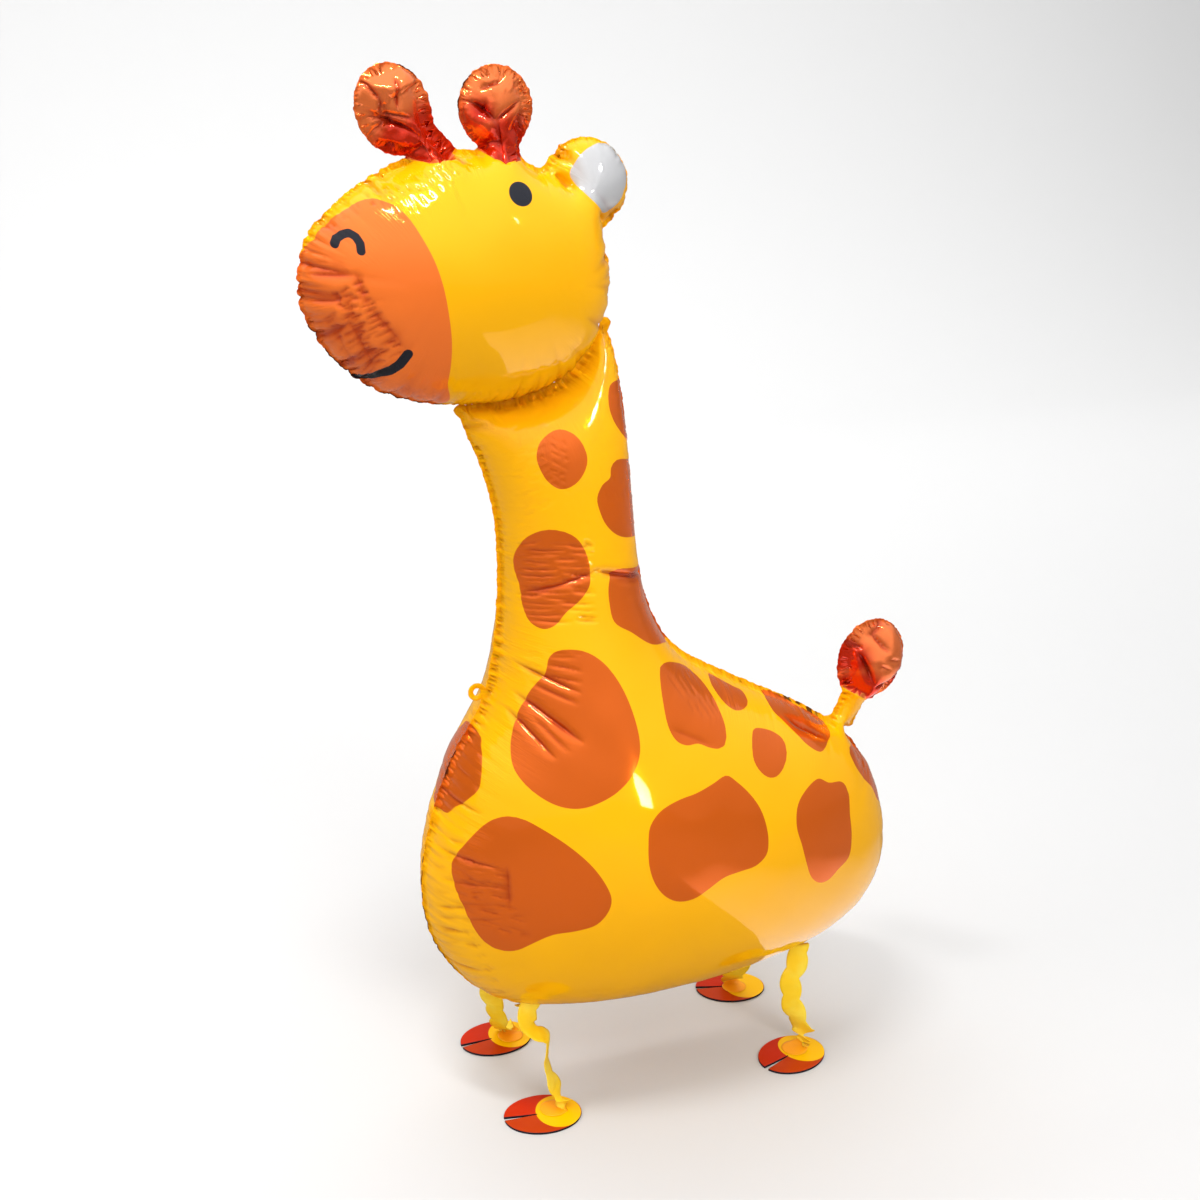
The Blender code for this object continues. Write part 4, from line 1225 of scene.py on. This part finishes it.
def new_material(name, slot_colour):
    made = bpy.data.materials.new(name)
    made.use_nodes = True
    made.diffuse_color = (*slot_colour, 1)
    return made, made.node_tree, made.node_tree.nodes["Principled BSDF"]


def node(tree, kind, **values):
    made = tree.nodes.new(kind)
    for key, value in values.items():
        setattr(made, key, value)
    return made


def attribute(tree, label):
    return node(tree, "ShaderNodeAttribute", attribute_name=label).outputs["Fac"]


def set_inputs(made, **values):
    for key, value in values.items():
        made.inputs[key.replace("_", " ")].default_value = value


def ramp(tree, value, low, high, to=(0, 1), kind="SMOOTHSTEP"):
    """Turns a value from low to high into one between the two of to."""
    made = node(tree, "ShaderNodeMapRange", interpolation_type=kind)
    set_inputs(made, From_Min=low, From_Max=high, To_Min=to[0], To_Max=to[1])
    tree.links.new(value, made.inputs["Value"])
    return made.outputs["Result"]


def edge_mask(tree, value, blur):
    """1 where the value is above zero, with an edge that soft."""
    return ramp(tree, value, -blur, blur)


def noise_field(tree, vector, scale, detail=2):
    made = node(tree, "ShaderNodeTexNoise")
    set_inputs(made, Scale=scale, Detail=detail)
    tree.links.new(vector, made.inputs["Vector"])
    return made.outputs["Fac"]


def split_xyz(tree, vector):
    made = node(tree, "ShaderNodeSeparateXYZ")
    tree.links.new(vector, made.inputs[0])
    return made.outputs


def add_bump(tree, shader, height, strength, distance):
    made = node(tree, "ShaderNodeBump")
    set_inputs(made, Strength=strength, Distance=distance)
    tree.links.new(height, made.inputs["Height"])
    tree.links.new(made.outputs["Normal"], shader.inputs["Normal"])


def mix_colour(tree, fac, first, second, blend="MIX"):
    made = node(tree, "ShaderNodeMix", data_type="RGBA", blend_type=blend)
    for k, value in ((0, fac), (6, first), (7, second)):
        if isinstance(value, (tuple, list)):
            made.inputs[k].default_value = (*value[:3], 1)
        elif isinstance(value, (int, float)):
            made.inputs[k].default_value = value
        else:
            tree.links.new(value, made.inputs[k])
    return made.outputs[2]


def maths(tree, operation, *values):
    made = node(tree, "ShaderNodeMath", operation=operation)
    for k, value in enumerate(values):
        if isinstance(value, (int, float)):
            made.inputs[k].default_value = value
        else:
            tree.links.new(value, made.inputs[k])
    return made.outputs[0]


def pucker_group():
    """Fine puckers that fade away from the weld, with masks along the rim for painted bead glints
    and painted dark dashes.
    """
    group = bpy.data.node_groups.new("weld_puckers", "ShaderNodeTree")
    for label, value in (("Spacing", 0.0040), ("Reach", 0.075), ("Rim", 0.0030),
                         ("Bead", 0.0042), ("Dash", 0.0130)):
        socket = group.interface.new_socket(label, in_out="INPUT", socket_type="NodeSocketFloat")
        socket.default_value = value
    for label in ("Height", "Bead_glints", "Reflection_dashes"):
        group.interface.new_socket(label, in_out="OUTPUT", socket_type="NodeSocketFloat")
    given, result = node(group, "NodeGroupInput"), node(group, "NodeGroupOutput")
    uv = node(group, "ShaderNodeUVMap", uv_map="weld_run")
    run, inwards = split_xyz(group, uv.outputs[0])[:2]
    share = maths(group, "DIVIDE", inwards, given.outputs["Reach"])

    def along(spacing, across=None, detail=0):
        vector = node(group, "ShaderNodeCombineXYZ")
        group.links.new(maths(group, "DIVIDE", run, given.outputs[spacing]), vector.inputs[0])
        if across is not None:
            group.links.new(across, vector.inputs[1])
        return noise_field(group, vector.outputs[0], 1, detail)

    fine = along("Spacing", maths(group, "MULTIPLY", share, 2.2), 2)
    ridge = maths(group, "ABSOLUTE", maths(group, "SUBTRACT", fine, 0.5))
    patch = noise_field(group, node(group, "ShaderNodeTexCoord").outputs["Object"], 14, 1)
    ridge = maths(group, "MULTIPLY", ridge, edge_mask(
        group, maths(group, "SUBTRACT", patch, 0.47), 0.10))
    fade = maths(group, "POWER", maths(group, "MAXIMUM", maths(
        group, "SUBTRACT", 1.0, share), 0.0), 1.4)
    started = edge_mask(group, maths(group, "SUBTRACT", inwards, given.outputs["Rim"]), 0.001)
    for label, value in (
            ("Height", maths(group, "MULTIPLY", ridge, maths(group, "MULTIPLY", fade, started))),
            ("Bead_glints", edge_mask(group, maths(group, "SUBTRACT", along("Bead"), 0.5), 0.08)),
            ("Reflection_dashes", edge_mask(group, maths(group, "SUBTRACT", along("Dash"), 0.46), 0.03))):
        group.links.new(value, result.inputs[label])
    return group


def foil_material(name, inks, prints):
    """Glossy printed foil. prints is a list of mask attribute, colour, bare-metal share, blur;
    besides the print it holds the deep red painted reflection at the roots.
    """
    made, tree, shader = new_material(name, inks.yellow)
    place = node(tree, "ShaderNodeTexCoord").outputs["Object"]
    cloud = noise_field(tree, place, 9, 3)
    shade = maths(tree, "MULTIPLY", maths(tree, "SUBTRACT", cloud, 0.5), 0.5)
    shade = maths(tree, "ADD", 0.4, shade)
    yellow = tuple(inks.yellow)
    colour = mix_colour(tree, shade, yellow, (yellow[0] * 0.90, yellow[1] * 0.80, yellow[2]))
    metal = YELLOW_METAL
    for label, ink, bare, blur in prints:
        mask = edge_mask(tree, attribute(tree, label), blur)
        toned = mix_colour(tree, shade, tuple(ink), tuple(c * 0.82 for c in ink))
        colour = mix_colour(tree, mask, colour, toned)
        metal = maths(tree, "ADD", maths(tree, "MULTIPLY", mask, bare), maths(
            tree, "MULTIPLY", metal, maths(tree, "SUBTRACT", 1.0, mask)))
    tree.links.new(metal, shader.inputs["Metallic"])

    # Painted shade darkens the creases, a painted reflection tints the weld with bead glints, and
    # painted dark dashes on the tucked rim stand in for its dark reflection
    puckers = node(tree, "ShaderNodeGroup", node_tree=bpy.data.node_groups["weld_puckers"])
    colour = mix_colour(tree, maths(tree, "MULTIPLY", attribute(tree, "crease_shade"), CREASE_SHADE_SHARE), colour,
                        CREASE_SHADE_TINT, "MULTIPLY")
    weld = edge_mask(tree, attribute(tree, "weld"), PRINT_BLUR)
    # Painted reflection: the weld is tinted darker amber, with paler painted glints in beads along
    # it
    weld_reflection = mix_colour(tree, puckers.outputs["Bead_glints"], *WELD_REFLECTION_TINTS)
    colour = mix_colour(tree, weld, colour, weld_reflection, "MULTIPLY")
    # Painted dark reflection: dark dashes on the outermost rim stand in for its scalloped edge
    # reflecting dark surroundings
    outermost = edge_mask(tree, maths(
        tree, "SUBTRACT", attribute(tree, "weld"), RIM_REFLECTION_START), INK_BLUR)
    rim_reflection_dash = maths(tree, "MULTIPLY", maths(tree, "MULTIPLY", outermost, puckers.outputs["Reflection_dashes"]),
                 edge_mask(tree, attribute(tree, "rim_reflection"), 0.006))
    colour = mix_colour(tree, maths(tree, "MULTIPLY", rim_reflection_dash, 0.9), colour, RIM_REFLECTION_COLOUR)
    tree.links.new(colour, shader.inputs["Base Color"])

    # Only the clear coat mirrors the room, less so on the weld
    smudge = noise_field(tree, place, 30, 4)
    tree.links.new(maths(tree, "ADD", 0.07, maths(tree, "MULTIPLY", smudge, 0.12)),
                   shader.inputs["Roughness"])
    tree.links.new(maths(tree, "SUBTRACT", COAT, maths(tree, "MULTIPLY", weld, WELD_COAT_LOSS)),
                   shader.inputs["Coat Weight"])
    set_inputs(shader, Coat_Roughness=0.03, IOR=1.5, Specular_IOR_Level=0)
    smooth = maths(tree, "SUBTRACT", 1.0, maths(tree, "MULTIPLY", edge_mask(
        tree, attribute(tree, "copper"), 0.0010), 0.85))
    add_bump(tree, shader, maths(tree, "MULTIPLY", puckers.outputs["Height"], smooth), 0.6, 0.0026)
    return made


def paper_material(inks):
    """Thin glossy paper: yellow along the strip, orange on its round pad."""
    made, tree, shader = new_material("yellow_strip_paper", inks.paper)
    place = node(tree, "ShaderNodeTexCoord").outputs["Object"]
    fibre, cloud = noise_field(tree, place, 260, 4), noise_field(tree, place, 38)
    paper = tuple(inks.paper)
    pale = (paper[0], paper[1] * 1.15, paper[2] + 0.04)
    tone = edge_mask(tree, maths(tree, "SUBTRACT", cloud, 0.56), 0.14)
    colour = mix_colour(tree, tone, paper, pale)
    on_pad = edge_mask(tree, attribute(tree, "pad"), 0.0008)
    pad = mix_colour(tree, cloud, tuple(inks.pad), tuple(c * 0.92 for c in inks.pad))
    colour = mix_colour(tree, on_pad, colour, pad)
    worn = edge_mask(tree, maths(tree, "SUBTRACT", attribute(tree, "edge"), 0.965), 0.02)
    colour = mix_colour(tree, maths(tree, "MULTIPLY", worn, 0.35), colour, pale)
    tree.links.new(colour, shader.inputs["Base Color"])
    tree.links.new(maths(tree, "ADD", 0.30, maths(tree, "MULTIPLY", fibre, 0.22)),
                   shader.inputs["Roughness"])
    set_inputs(shader, Specular_IOR_Level=0.15, Coat_Weight=0.15, Coat_Roughness=0.25)
    add_bump(tree, shader, fibre, 0.35, 0.0003)
    return made


def hoof_material(inks, settings):
    """Printed card: a yellow disc at the heel, glossy orange-red toes with one half painted oranger
    as a painted reflection, black cut edges.
    """
    made, tree, shader = new_material("printed_hoof_card", inks.hoof)
    uv = node(tree, "ShaderNodeUVMap", uv_map="hoof_frame")
    along, side = split_xyz(tree, uv.outputs[0])[:2]
    heel_x = -settings.hoof_length / 2 + settings.heel_length / 2 + 0.0008
    from_heel = maths(tree, "DIVIDE", maths(tree, "SUBTRACT", along, heel_x),
                      settings.heel_length / 2)
    aside = maths(tree, "DIVIDE", side, settings.heel_width / 2)
    radius = maths(tree, "SQRT", maths(tree, "ADD", maths(tree, "MULTIPLY", from_heel, from_heel),
                                       maths(tree, "MULTIPLY", aside, aside)))
    disc = edge_mask(tree, maths(tree, "SUBTRACT", 1.0, radius), 0.02)
    cloud = noise_field(tree, node(tree, "ShaderNodeTexCoord").outputs["Object"], 45, 3)
    red = tuple(inks.hoof)
    # Painted reflection: one toe half is oranger than the other, standing in for the two halves of
    # bent card catching the light differently
    half = edge_mask(tree, side, 0.001)
    toe = mix_colour(tree, half, red, (red[0] * 0.86, red[1] * 2.0, red[2] * 3.0))
    toe = mix_colour(tree, maths(tree, "MULTIPLY", cloud, 0.5), toe,
                     tuple(c * 0.72 for c in red))
    colour = mix_colour(tree, disc, toe, tuple(inks.heel))
    facing = split_xyz(tree, node(tree, "ShaderNodeNewGeometry").outputs["True Normal"])
    cut = edge_mask(tree, maths(tree, "SUBTRACT", 0.80, maths(tree, "ABSOLUTE", facing[2])), 0.05)
    line = edge_mask(tree, maths(tree, "SUBTRACT", maths(tree, "MULTIPLY", along, 0.075), maths(
        tree, "ABSOLUTE", side)), 0.0002)
    cut = maths(tree, "MAXIMUM", cut, maths(tree, "MULTIPLY", line, edge_mask(
        tree, maths(tree, "SUBTRACT", along, 0.006), 0.001)))
    colour = mix_colour(tree, cut, colour, tuple(inks.ink))
    tree.links.new(colour, shader.inputs["Base Color"])
    tree.links.new(maths(tree, "ADD", 0.26, maths(tree, "MULTIPLY", cloud, 0.22)),
                   shader.inputs["Roughness"])
    set_inputs(shader, Specular_IOR_Level=0.1, Coat_Weight=0.12, Coat_Roughness=0.12)
    add_bump(tree, shader, cloud, 0.25, 0.002)
    return made


# Operators

class BALLOON_OT_body(bpy.types.Operator):
    """Make the body, neck and tail balloon"""
    bl_idname = "balloon.body"
    bl_label = "Make body balloon"

    def execute(self, context):
        settings, inks = context.scene.balloon_foil, context.scene.balloon_inks
        surface = node_surface("foil_body")
        cut, hole = rim_loops("foil_body")[:2]
        outline = cut[np.linalg.norm(cut - hole.mean(axis=0), axis=1) > settings.tab_reach]
        detail = settings.detail
        lines = line_points(BODY_CREASES, surface, detail)
        dense = hatch_patches(BODY_HATCHES, surface, BODY_HATCH_SPACING)
        sheet = Sheet(outline, cut, hole, settings, detail, BODY_LATTICE, lines, dense)
        flat = sheet.flat
        spots = np.full(len(flat), -1.0)
        for pixels in BODY_SPOTS.values():
            spots = np.maximum(spots, depth_in(flat, printed(pixels, surface)))
        tuft_edge = printed(TUFT_AREA, None)
        tuft = depth_in(flat, tuft_edge)
        calm = np.where(depth_in(sheet.edge, tuft_edge) > -TUFT_MARGIN, LOBE_CALM, BODY_CALM)
        gap = distance(sheet.edge, rim_loops("foil_head")[0])
        tucked = np.where(gap < NECK_GAP, gap + NECK_OVERLAP, 0)
        tucked = np.convolve(np.tile(tucked, 3), np.ones(5) / 5, "same")[len(gap):-len(gap)]
        piece = balloon("foil_body_skin", sheet, settings, settings.seed, [], BODY_CREASES,
                        BODY_HATCHES, surface, [tuft > LOBE_INSET], calm, tucked,
                        {"spots": spots, "copper": tuft,
                         "root_reflection": np.where(tuft > 0, near_places(flat, BODY_ROOT_REFLECTIONS), -1.0),
                         "rim_reflection": near_places(flat, BODY_RIM_REFLECTIONS)})
        piece.data.materials.append(foil_material(
            "printed_foil_body", inks,
            [("spots", inks.spot, SPOT_METAL, PRINT_BLUR),
             ("copper", inks.copper, TUFT_METAL, PRINT_BLUR),
             ("root_reflection", inks.root_reflection, ROOT_REFLECTION_METAL, ROOT_REFLECTION_BLUR)]))
        finish_piece(piece, "foil_body")
        return {"FINISHED"}


class BALLOON_OT_head(bpy.types.Operator):
    """Make the head balloon with its horns and ear"""
    bl_idname = "balloon.head"
    bl_label = "Make head balloon"

    def execute(self, context):
        settings, inks = context.scene.balloon_foil, context.scene.balloon_inks
        surface = node_surface("foil_head")
        outline = rim_loops("foil_head")[0]
        detail = settings.detail * 0.9
        lines = line_points(HEAD_CREASES, surface, detail)
        nostril = np.array([cast(p, surface) for p in NOSTRIL_LINE])
        mouth = np.array([cast(p, surface) for p in MOUTH_LINE])
        eye = np.array(cast(EYE_PLACE, surface))
        dense = hatch_patches(HEAD_HATCHES, surface, HEAD_HATCH_SPACING)
        for centre, reach in ((nostril.mean(axis=0), NOSTRIL_PATCH),
                              (mouth.mean(axis=0), MOUTH_PATCH), (eye, EYE_PATCH)):
            side = np.arange(-reach, reach, PATCH_SPACING)
            patch = np.array([(x, z) for x in side for z in side if x * x + z * z < reach * reach])
            dense.append((patch + centre, 0.0009))
        sheet = Sheet(outline, None, None, settings, detail, HEAD_LATTICE, lines, dense)
        flat = sheet.flat
        muzzle = depth_in(flat, printed(MUZZLE_AREA, surface))
        front = depth_in(flat, printed(HORN_FRONT_AREA, None))
        rear = depth_in(flat, printed(HORN_REAR_AREA, None))
        ear = depth_in(flat, printed(EAR_WHITE_AREA, None))
        spread = (flat - eye) / np.array([EYE_WIDTH, EYE_HEIGHT]) * 2
        pupil = (1 - np.linalg.norm(spread, axis=1)) * EYE_HEIGHT / 2
        ink = np.maximum(pupil, NOSTRIL_WIDTH / 2 - distance(flat, nostril, closed=False))
        taper = np.clip(np.linalg.norm(flat - mouth[-2], axis=1) / MOUTH_TAPER_LENGTH, 0, 1)
        half_mouth = MOUTH_WIDTH / 2 * (1 - MOUTH_TAPER * taper ** 2)
        ink = np.maximum(ink, half_mouth - distance(flat, mouth, closed=False))
        root_line = np.linspace(*(cast(p, None) for p in EAR_ROOT), 40)
        calm = np.ones(len(sheet.edge))
        for area, share in ((HORN_FRONT_AREA, LOBE_CALM), (HORN_REAR_AREA, LOBE_CALM),
                            (EAR_WHITE_AREA, EAR_CALM)):
            calm[depth_in(sheet.edge, printed(area, None)) > -HORN_MARGIN] = share
        copper = np.maximum(front, rear)
        piece = balloon("foil_head_skin", sheet, settings, settings.seed + 50,
                        [(root_line, EAR_ROOT_THICKNESS)], HEAD_CREASES, HEAD_HATCHES, surface,
                        [front > LOBE_INSET, rear > LOBE_INSET], calm, np.zeros(len(calm)),
                        {"muzzle": muzzle, "copper": copper, "ear": ear, "ink": ink,
                         "root_reflection": np.where(copper > 0, near_places(flat, HEAD_ROOT_REFLECTIONS), -1.0),
                         "rim_reflection": near_places(flat, HEAD_RIM_REFLECTIONS)})
        piece.data.materials.append(foil_material(
            "printed_foil_head", inks,
            [("muzzle", inks.muzzle, MUZZLE_METAL, PRINT_BLUR),
             ("copper", inks.copper, HORN_METAL, PRINT_BLUR),
             ("root_reflection", inks.root_reflection, ROOT_REFLECTION_METAL, ROOT_REFLECTION_BLUR), ("ear", inks.ear, EAR_METAL, PRINT_BLUR),
             ("ink", inks.ink, 0, INK_BLUR)]))
        finish_piece(piece, "foil_head")
        return {"FINISHED"}


class BALLOON_OT_strips(bpy.types.Operator):
    """Make the four scalloped paper strips"""
    bl_idname = "balloon.strips"
    bl_label = "Make leg strips"

    def execute(self, context):
        settings = context.scene.balloon_legs
        tree = strip_tree(paper_material(context.scene.balloon_inks))
        for seed, leg in enumerate(HOOF_TOES):
            piece = paper_strip(f"strip_{leg}", f"leg_{leg}", tree, settings, seed)
            finish_piece(piece, f"leg_{leg}")
        return {"FINISHED"}


class BALLOON_OT_hooves(bpy.types.Operator):
    """Make the four card hooves"""
    bl_idname = "balloon.hooves"
    bl_label = "Make hooves"

    def execute(self, context):
        settings = context.scene.balloon_legs
        card = hoof_material(context.scene.balloon_inks, settings)
        for leg, toe in HOOF_TOES.items():
            piece = card_hoof(f"card_{leg}", f"hoof_{leg}", toe, settings)
            piece.data.materials.append(card)
            finish_piece(piece, f"hoof_{leg}")
        return {"FINISHED"}


# Lamps: what they light, how far round it and above it they are in degrees, how far away, size,
# which of the stage's powers and what share of it, spread and roll in degrees, and which rays see
# them. The board lies on the floor and shines up.
LAMPS = (
    ("key_softbox", (0, 0, 0.5), -52, 70, 2.3, (0.80, 0.20), "key", 1, 180, 0, "all"),
    ("strip_softbox", (-0.05, -0.03, 0.72), 36, 38, 0.9, (0.08, 0.34), "strip", 1, 13, 0, "all"),
    ("window_softbox", (-0.01, -0.13, 0.37), 10, 3, 0.8, (0.10, 0.15), "window", 1, 30, -14, "all"),
    ("front_fill", (0, 0, 0.6), -2, 34, 3.2, (1.6, 1.6), "fill", 0.34, 80, 0, "diffuse"),
    ("left_fill", (0, 0, 0.6), -85, 24, 2.8, (1.4, 1.4), "fill", 0.2, 110, 0, "diffuse"),
    ("back_fill", (0, 0, 0.5), 170, 55, 3.6, (3.0, 2.2), "fill", 0.7, 180, 0, "diffuse"),
    ("floor_board", (1.10, -0.50, 0.004), 0, -90, 0, (1.8, 1.4), "board", 1, 134, 0, "gloss"),
)


# The light on the wall: size, how far to the right, in front of the sweep and up, and its tilt
WALL_LIGHT_SIZE = (7, 1)
WALL_LIGHT_SIDE, WALL_LIGHT_GAP, WALL_LIGHT_HEIGHT, WALL_LIGHT_TILT = 0.8, 0.6, 3.4, 35

SWEEP_STEPS = 17


class BALLOON_OT_stage(bpy.types.Operator):
    """Make the floor, the lights and the camera"""
    bl_idname = "balloon.stage"
    bl_label = "Make stage"

    def execute(self, context):
        stage = context.scene.balloon_stage
        half, bend = stage.floor_size / 2, stage.sweep_radius
        profile = [(-half, 0)]
        for t in np.linspace(0, math.pi / 2, SWEEP_STEPS):
            profile.append((stage.sweep_start + bend * math.sin(t), bend * (1 - math.cos(t))))
        profile.append((stage.sweep_start + bend, stage.sweep_height))
        mesh = bpy.data.meshes.new("sweep")
        mesh.from_pydata([(x, y, z) for y, z in profile for x in (-half, half)], [],
                         [(k, k + 1, k + 3, k + 2) for k in range(0, 2 * len(profile) - 2, 2)])
        mesh.shade_smooth()
        floor = bpy.data.objects.new("sweep", mesh)
        context.scene.collection.objects.link(floor)
        made, tree, shader = new_material("pale_floor", stage.floor)
        mirrored = node(tree, "ShaderNodeLightPath").outputs["Is Glossy Ray"]
        tree.links.new(mix_colour(tree, mirrored, tuple(stage.floor), tuple(stage.mirrored)),
                       shader.inputs["Base Color"])
        set_inputs(shader, Roughness=0.9)
        mesh.materials.append(made)

        for name, lit, around, rise, reach, size, kind, share, spread, roll, seen in LAMPS:
            turn, lift = math.radians(around), math.radians(rise)
            way = Vector((math.sin(turn) * math.cos(lift), -math.cos(turn) * math.cos(lift),
                          math.sin(lift)))
            data = bpy.data.lights.new(name, "AREA")
            data.shape = "RECTANGLE"
            data.size, data.size_y = size
            data.energy = getattr(stage, kind) * share
            data.spread = math.radians(spread)
            lamp = bpy.data.objects.new(name, data)
            lamp.location = Vector(lit) + way * reach
            rolled = Quaternion((0, 0, 1), math.radians(roll))
            lamp.rotation_euler = (way.to_track_quat("Z", "Y") @ rolled).to_euler()
            lamp.visible_camera = False
            lamp.visible_glossy = seen != "diffuse"
            lamp.visible_diffuse = seen != "gloss"
            context.scene.collection.objects.link(lamp)

        data = bpy.data.lights.new("wall_light", "AREA")
        data.shape = "RECTANGLE"
        data.size, data.size_y = WALL_LIGHT_SIZE
        data.energy = stage.wall
        lamp = bpy.data.objects.new("wall_light", data)
        lamp.location = (WALL_LIGHT_SIDE, stage.sweep_start - WALL_LIGHT_GAP, WALL_LIGHT_HEIGHT)
        lamp.rotation_euler = (math.radians(WALL_LIGHT_TILT), 0, 0)
        lamp.visible_glossy = False
        context.scene.collection.objects.link(lamp)

        # The room is brighter overhead and darker behind the balloon's tail
        world = bpy.data.worlds.new("room")
        world.use_nodes = True
        tree = world.node_tree
        way = split_xyz(tree, node(tree, "ShaderNodeTexCoord").outputs["Generated"])
        above, tailward = ramp(tree, way[2], 0, 0.85), ramp(tree, way[0], 0.2, 1, (1, 0.7))
        light = maths(tree, "MULTIPLY", maths(tree, "ADD", stage.room, maths(
            tree, "MULTIPLY", above, stage.ceiling)), tailward)
        light = maths(tree, "MAXIMUM", light, maths(tree, "MULTIPLY", node(
            tree, "ShaderNodeLightPath").outputs["Is Camera Ray"], stage.backdrop))
        tree.links.new(light, tree.nodes["Background"].inputs["Strength"])
        set_inputs(tree.nodes["Background"], Color=(1, 1, 1, 1))
        context.scene.world = world

        data = bpy.data.cameras.new("camera")
        data.sensor_width = SENSOR
        data.lens = SENSOR * FOCAL_PIXELS / PHOTO_SIZE
        camera = bpy.data.objects.new("camera", data)
        camera.location = CAMERA_PLACE
        camera.rotation_euler = (math.radians(90 - CAMERA_DIP), 0, -math.radians(CAMERA_TURN))
        context.scene.collection.objects.link(camera)
        context.scene.camera = camera
        context.scene.view_settings.view_transform = "Standard"
        return {"FINISHED"}


OPERATORS = (BALLOON_OT_body, BALLOON_OT_head, BALLOON_OT_strips, BALLOON_OT_hooves,
             BALLOON_OT_stage)
SETTINGS = {"balloon_foil": FoilSettings, "balloon_inks": InkSettings,
            "balloon_legs": LegSettings, "balloon_stage": StageSettings}


class BALLOON_PT_panel(bpy.types.Panel):
    """Lists the balloon's settings and pieces"""
    bl_label = "Giraffe balloon"
    bl_space_type = "VIEW_3D"
    bl_region_type = "UI"
    bl_category = "Balloon"

    def draw(self, context):
        for label, kind in SETTINGS.items():
            for prop in kind.__annotations__:
                self.layout.prop(getattr(context.scene, label), prop)
        for operator in OPERATORS:
            self.layout.operator(operator.bl_idname)


CLASSES = (*SETTINGS.values(), *OPERATORS, BALLOON_PT_panel)


def register():
    for kind in CLASSES:
        bpy.utils.register_class(kind)
    for label, kind in SETTINGS.items():
        setattr(bpy.types.Scene, label, bpy.props.PointerProperty(type=kind))


def unregister():
    for label in SETTINGS:
        delattr(bpy.types.Scene, label)
    for kind in reversed(CLASSES):
        bpy.utils.unregister_class(kind)


def main():
    register()
    pucker_group()
    bpy.ops.balloon.body()
    bpy.ops.balloon.head()
    bpy.ops.balloon.strips()
    bpy.ops.balloon.hooves()
    bpy.ops.balloon.stage()


if __name__ == "__main__":
    main()
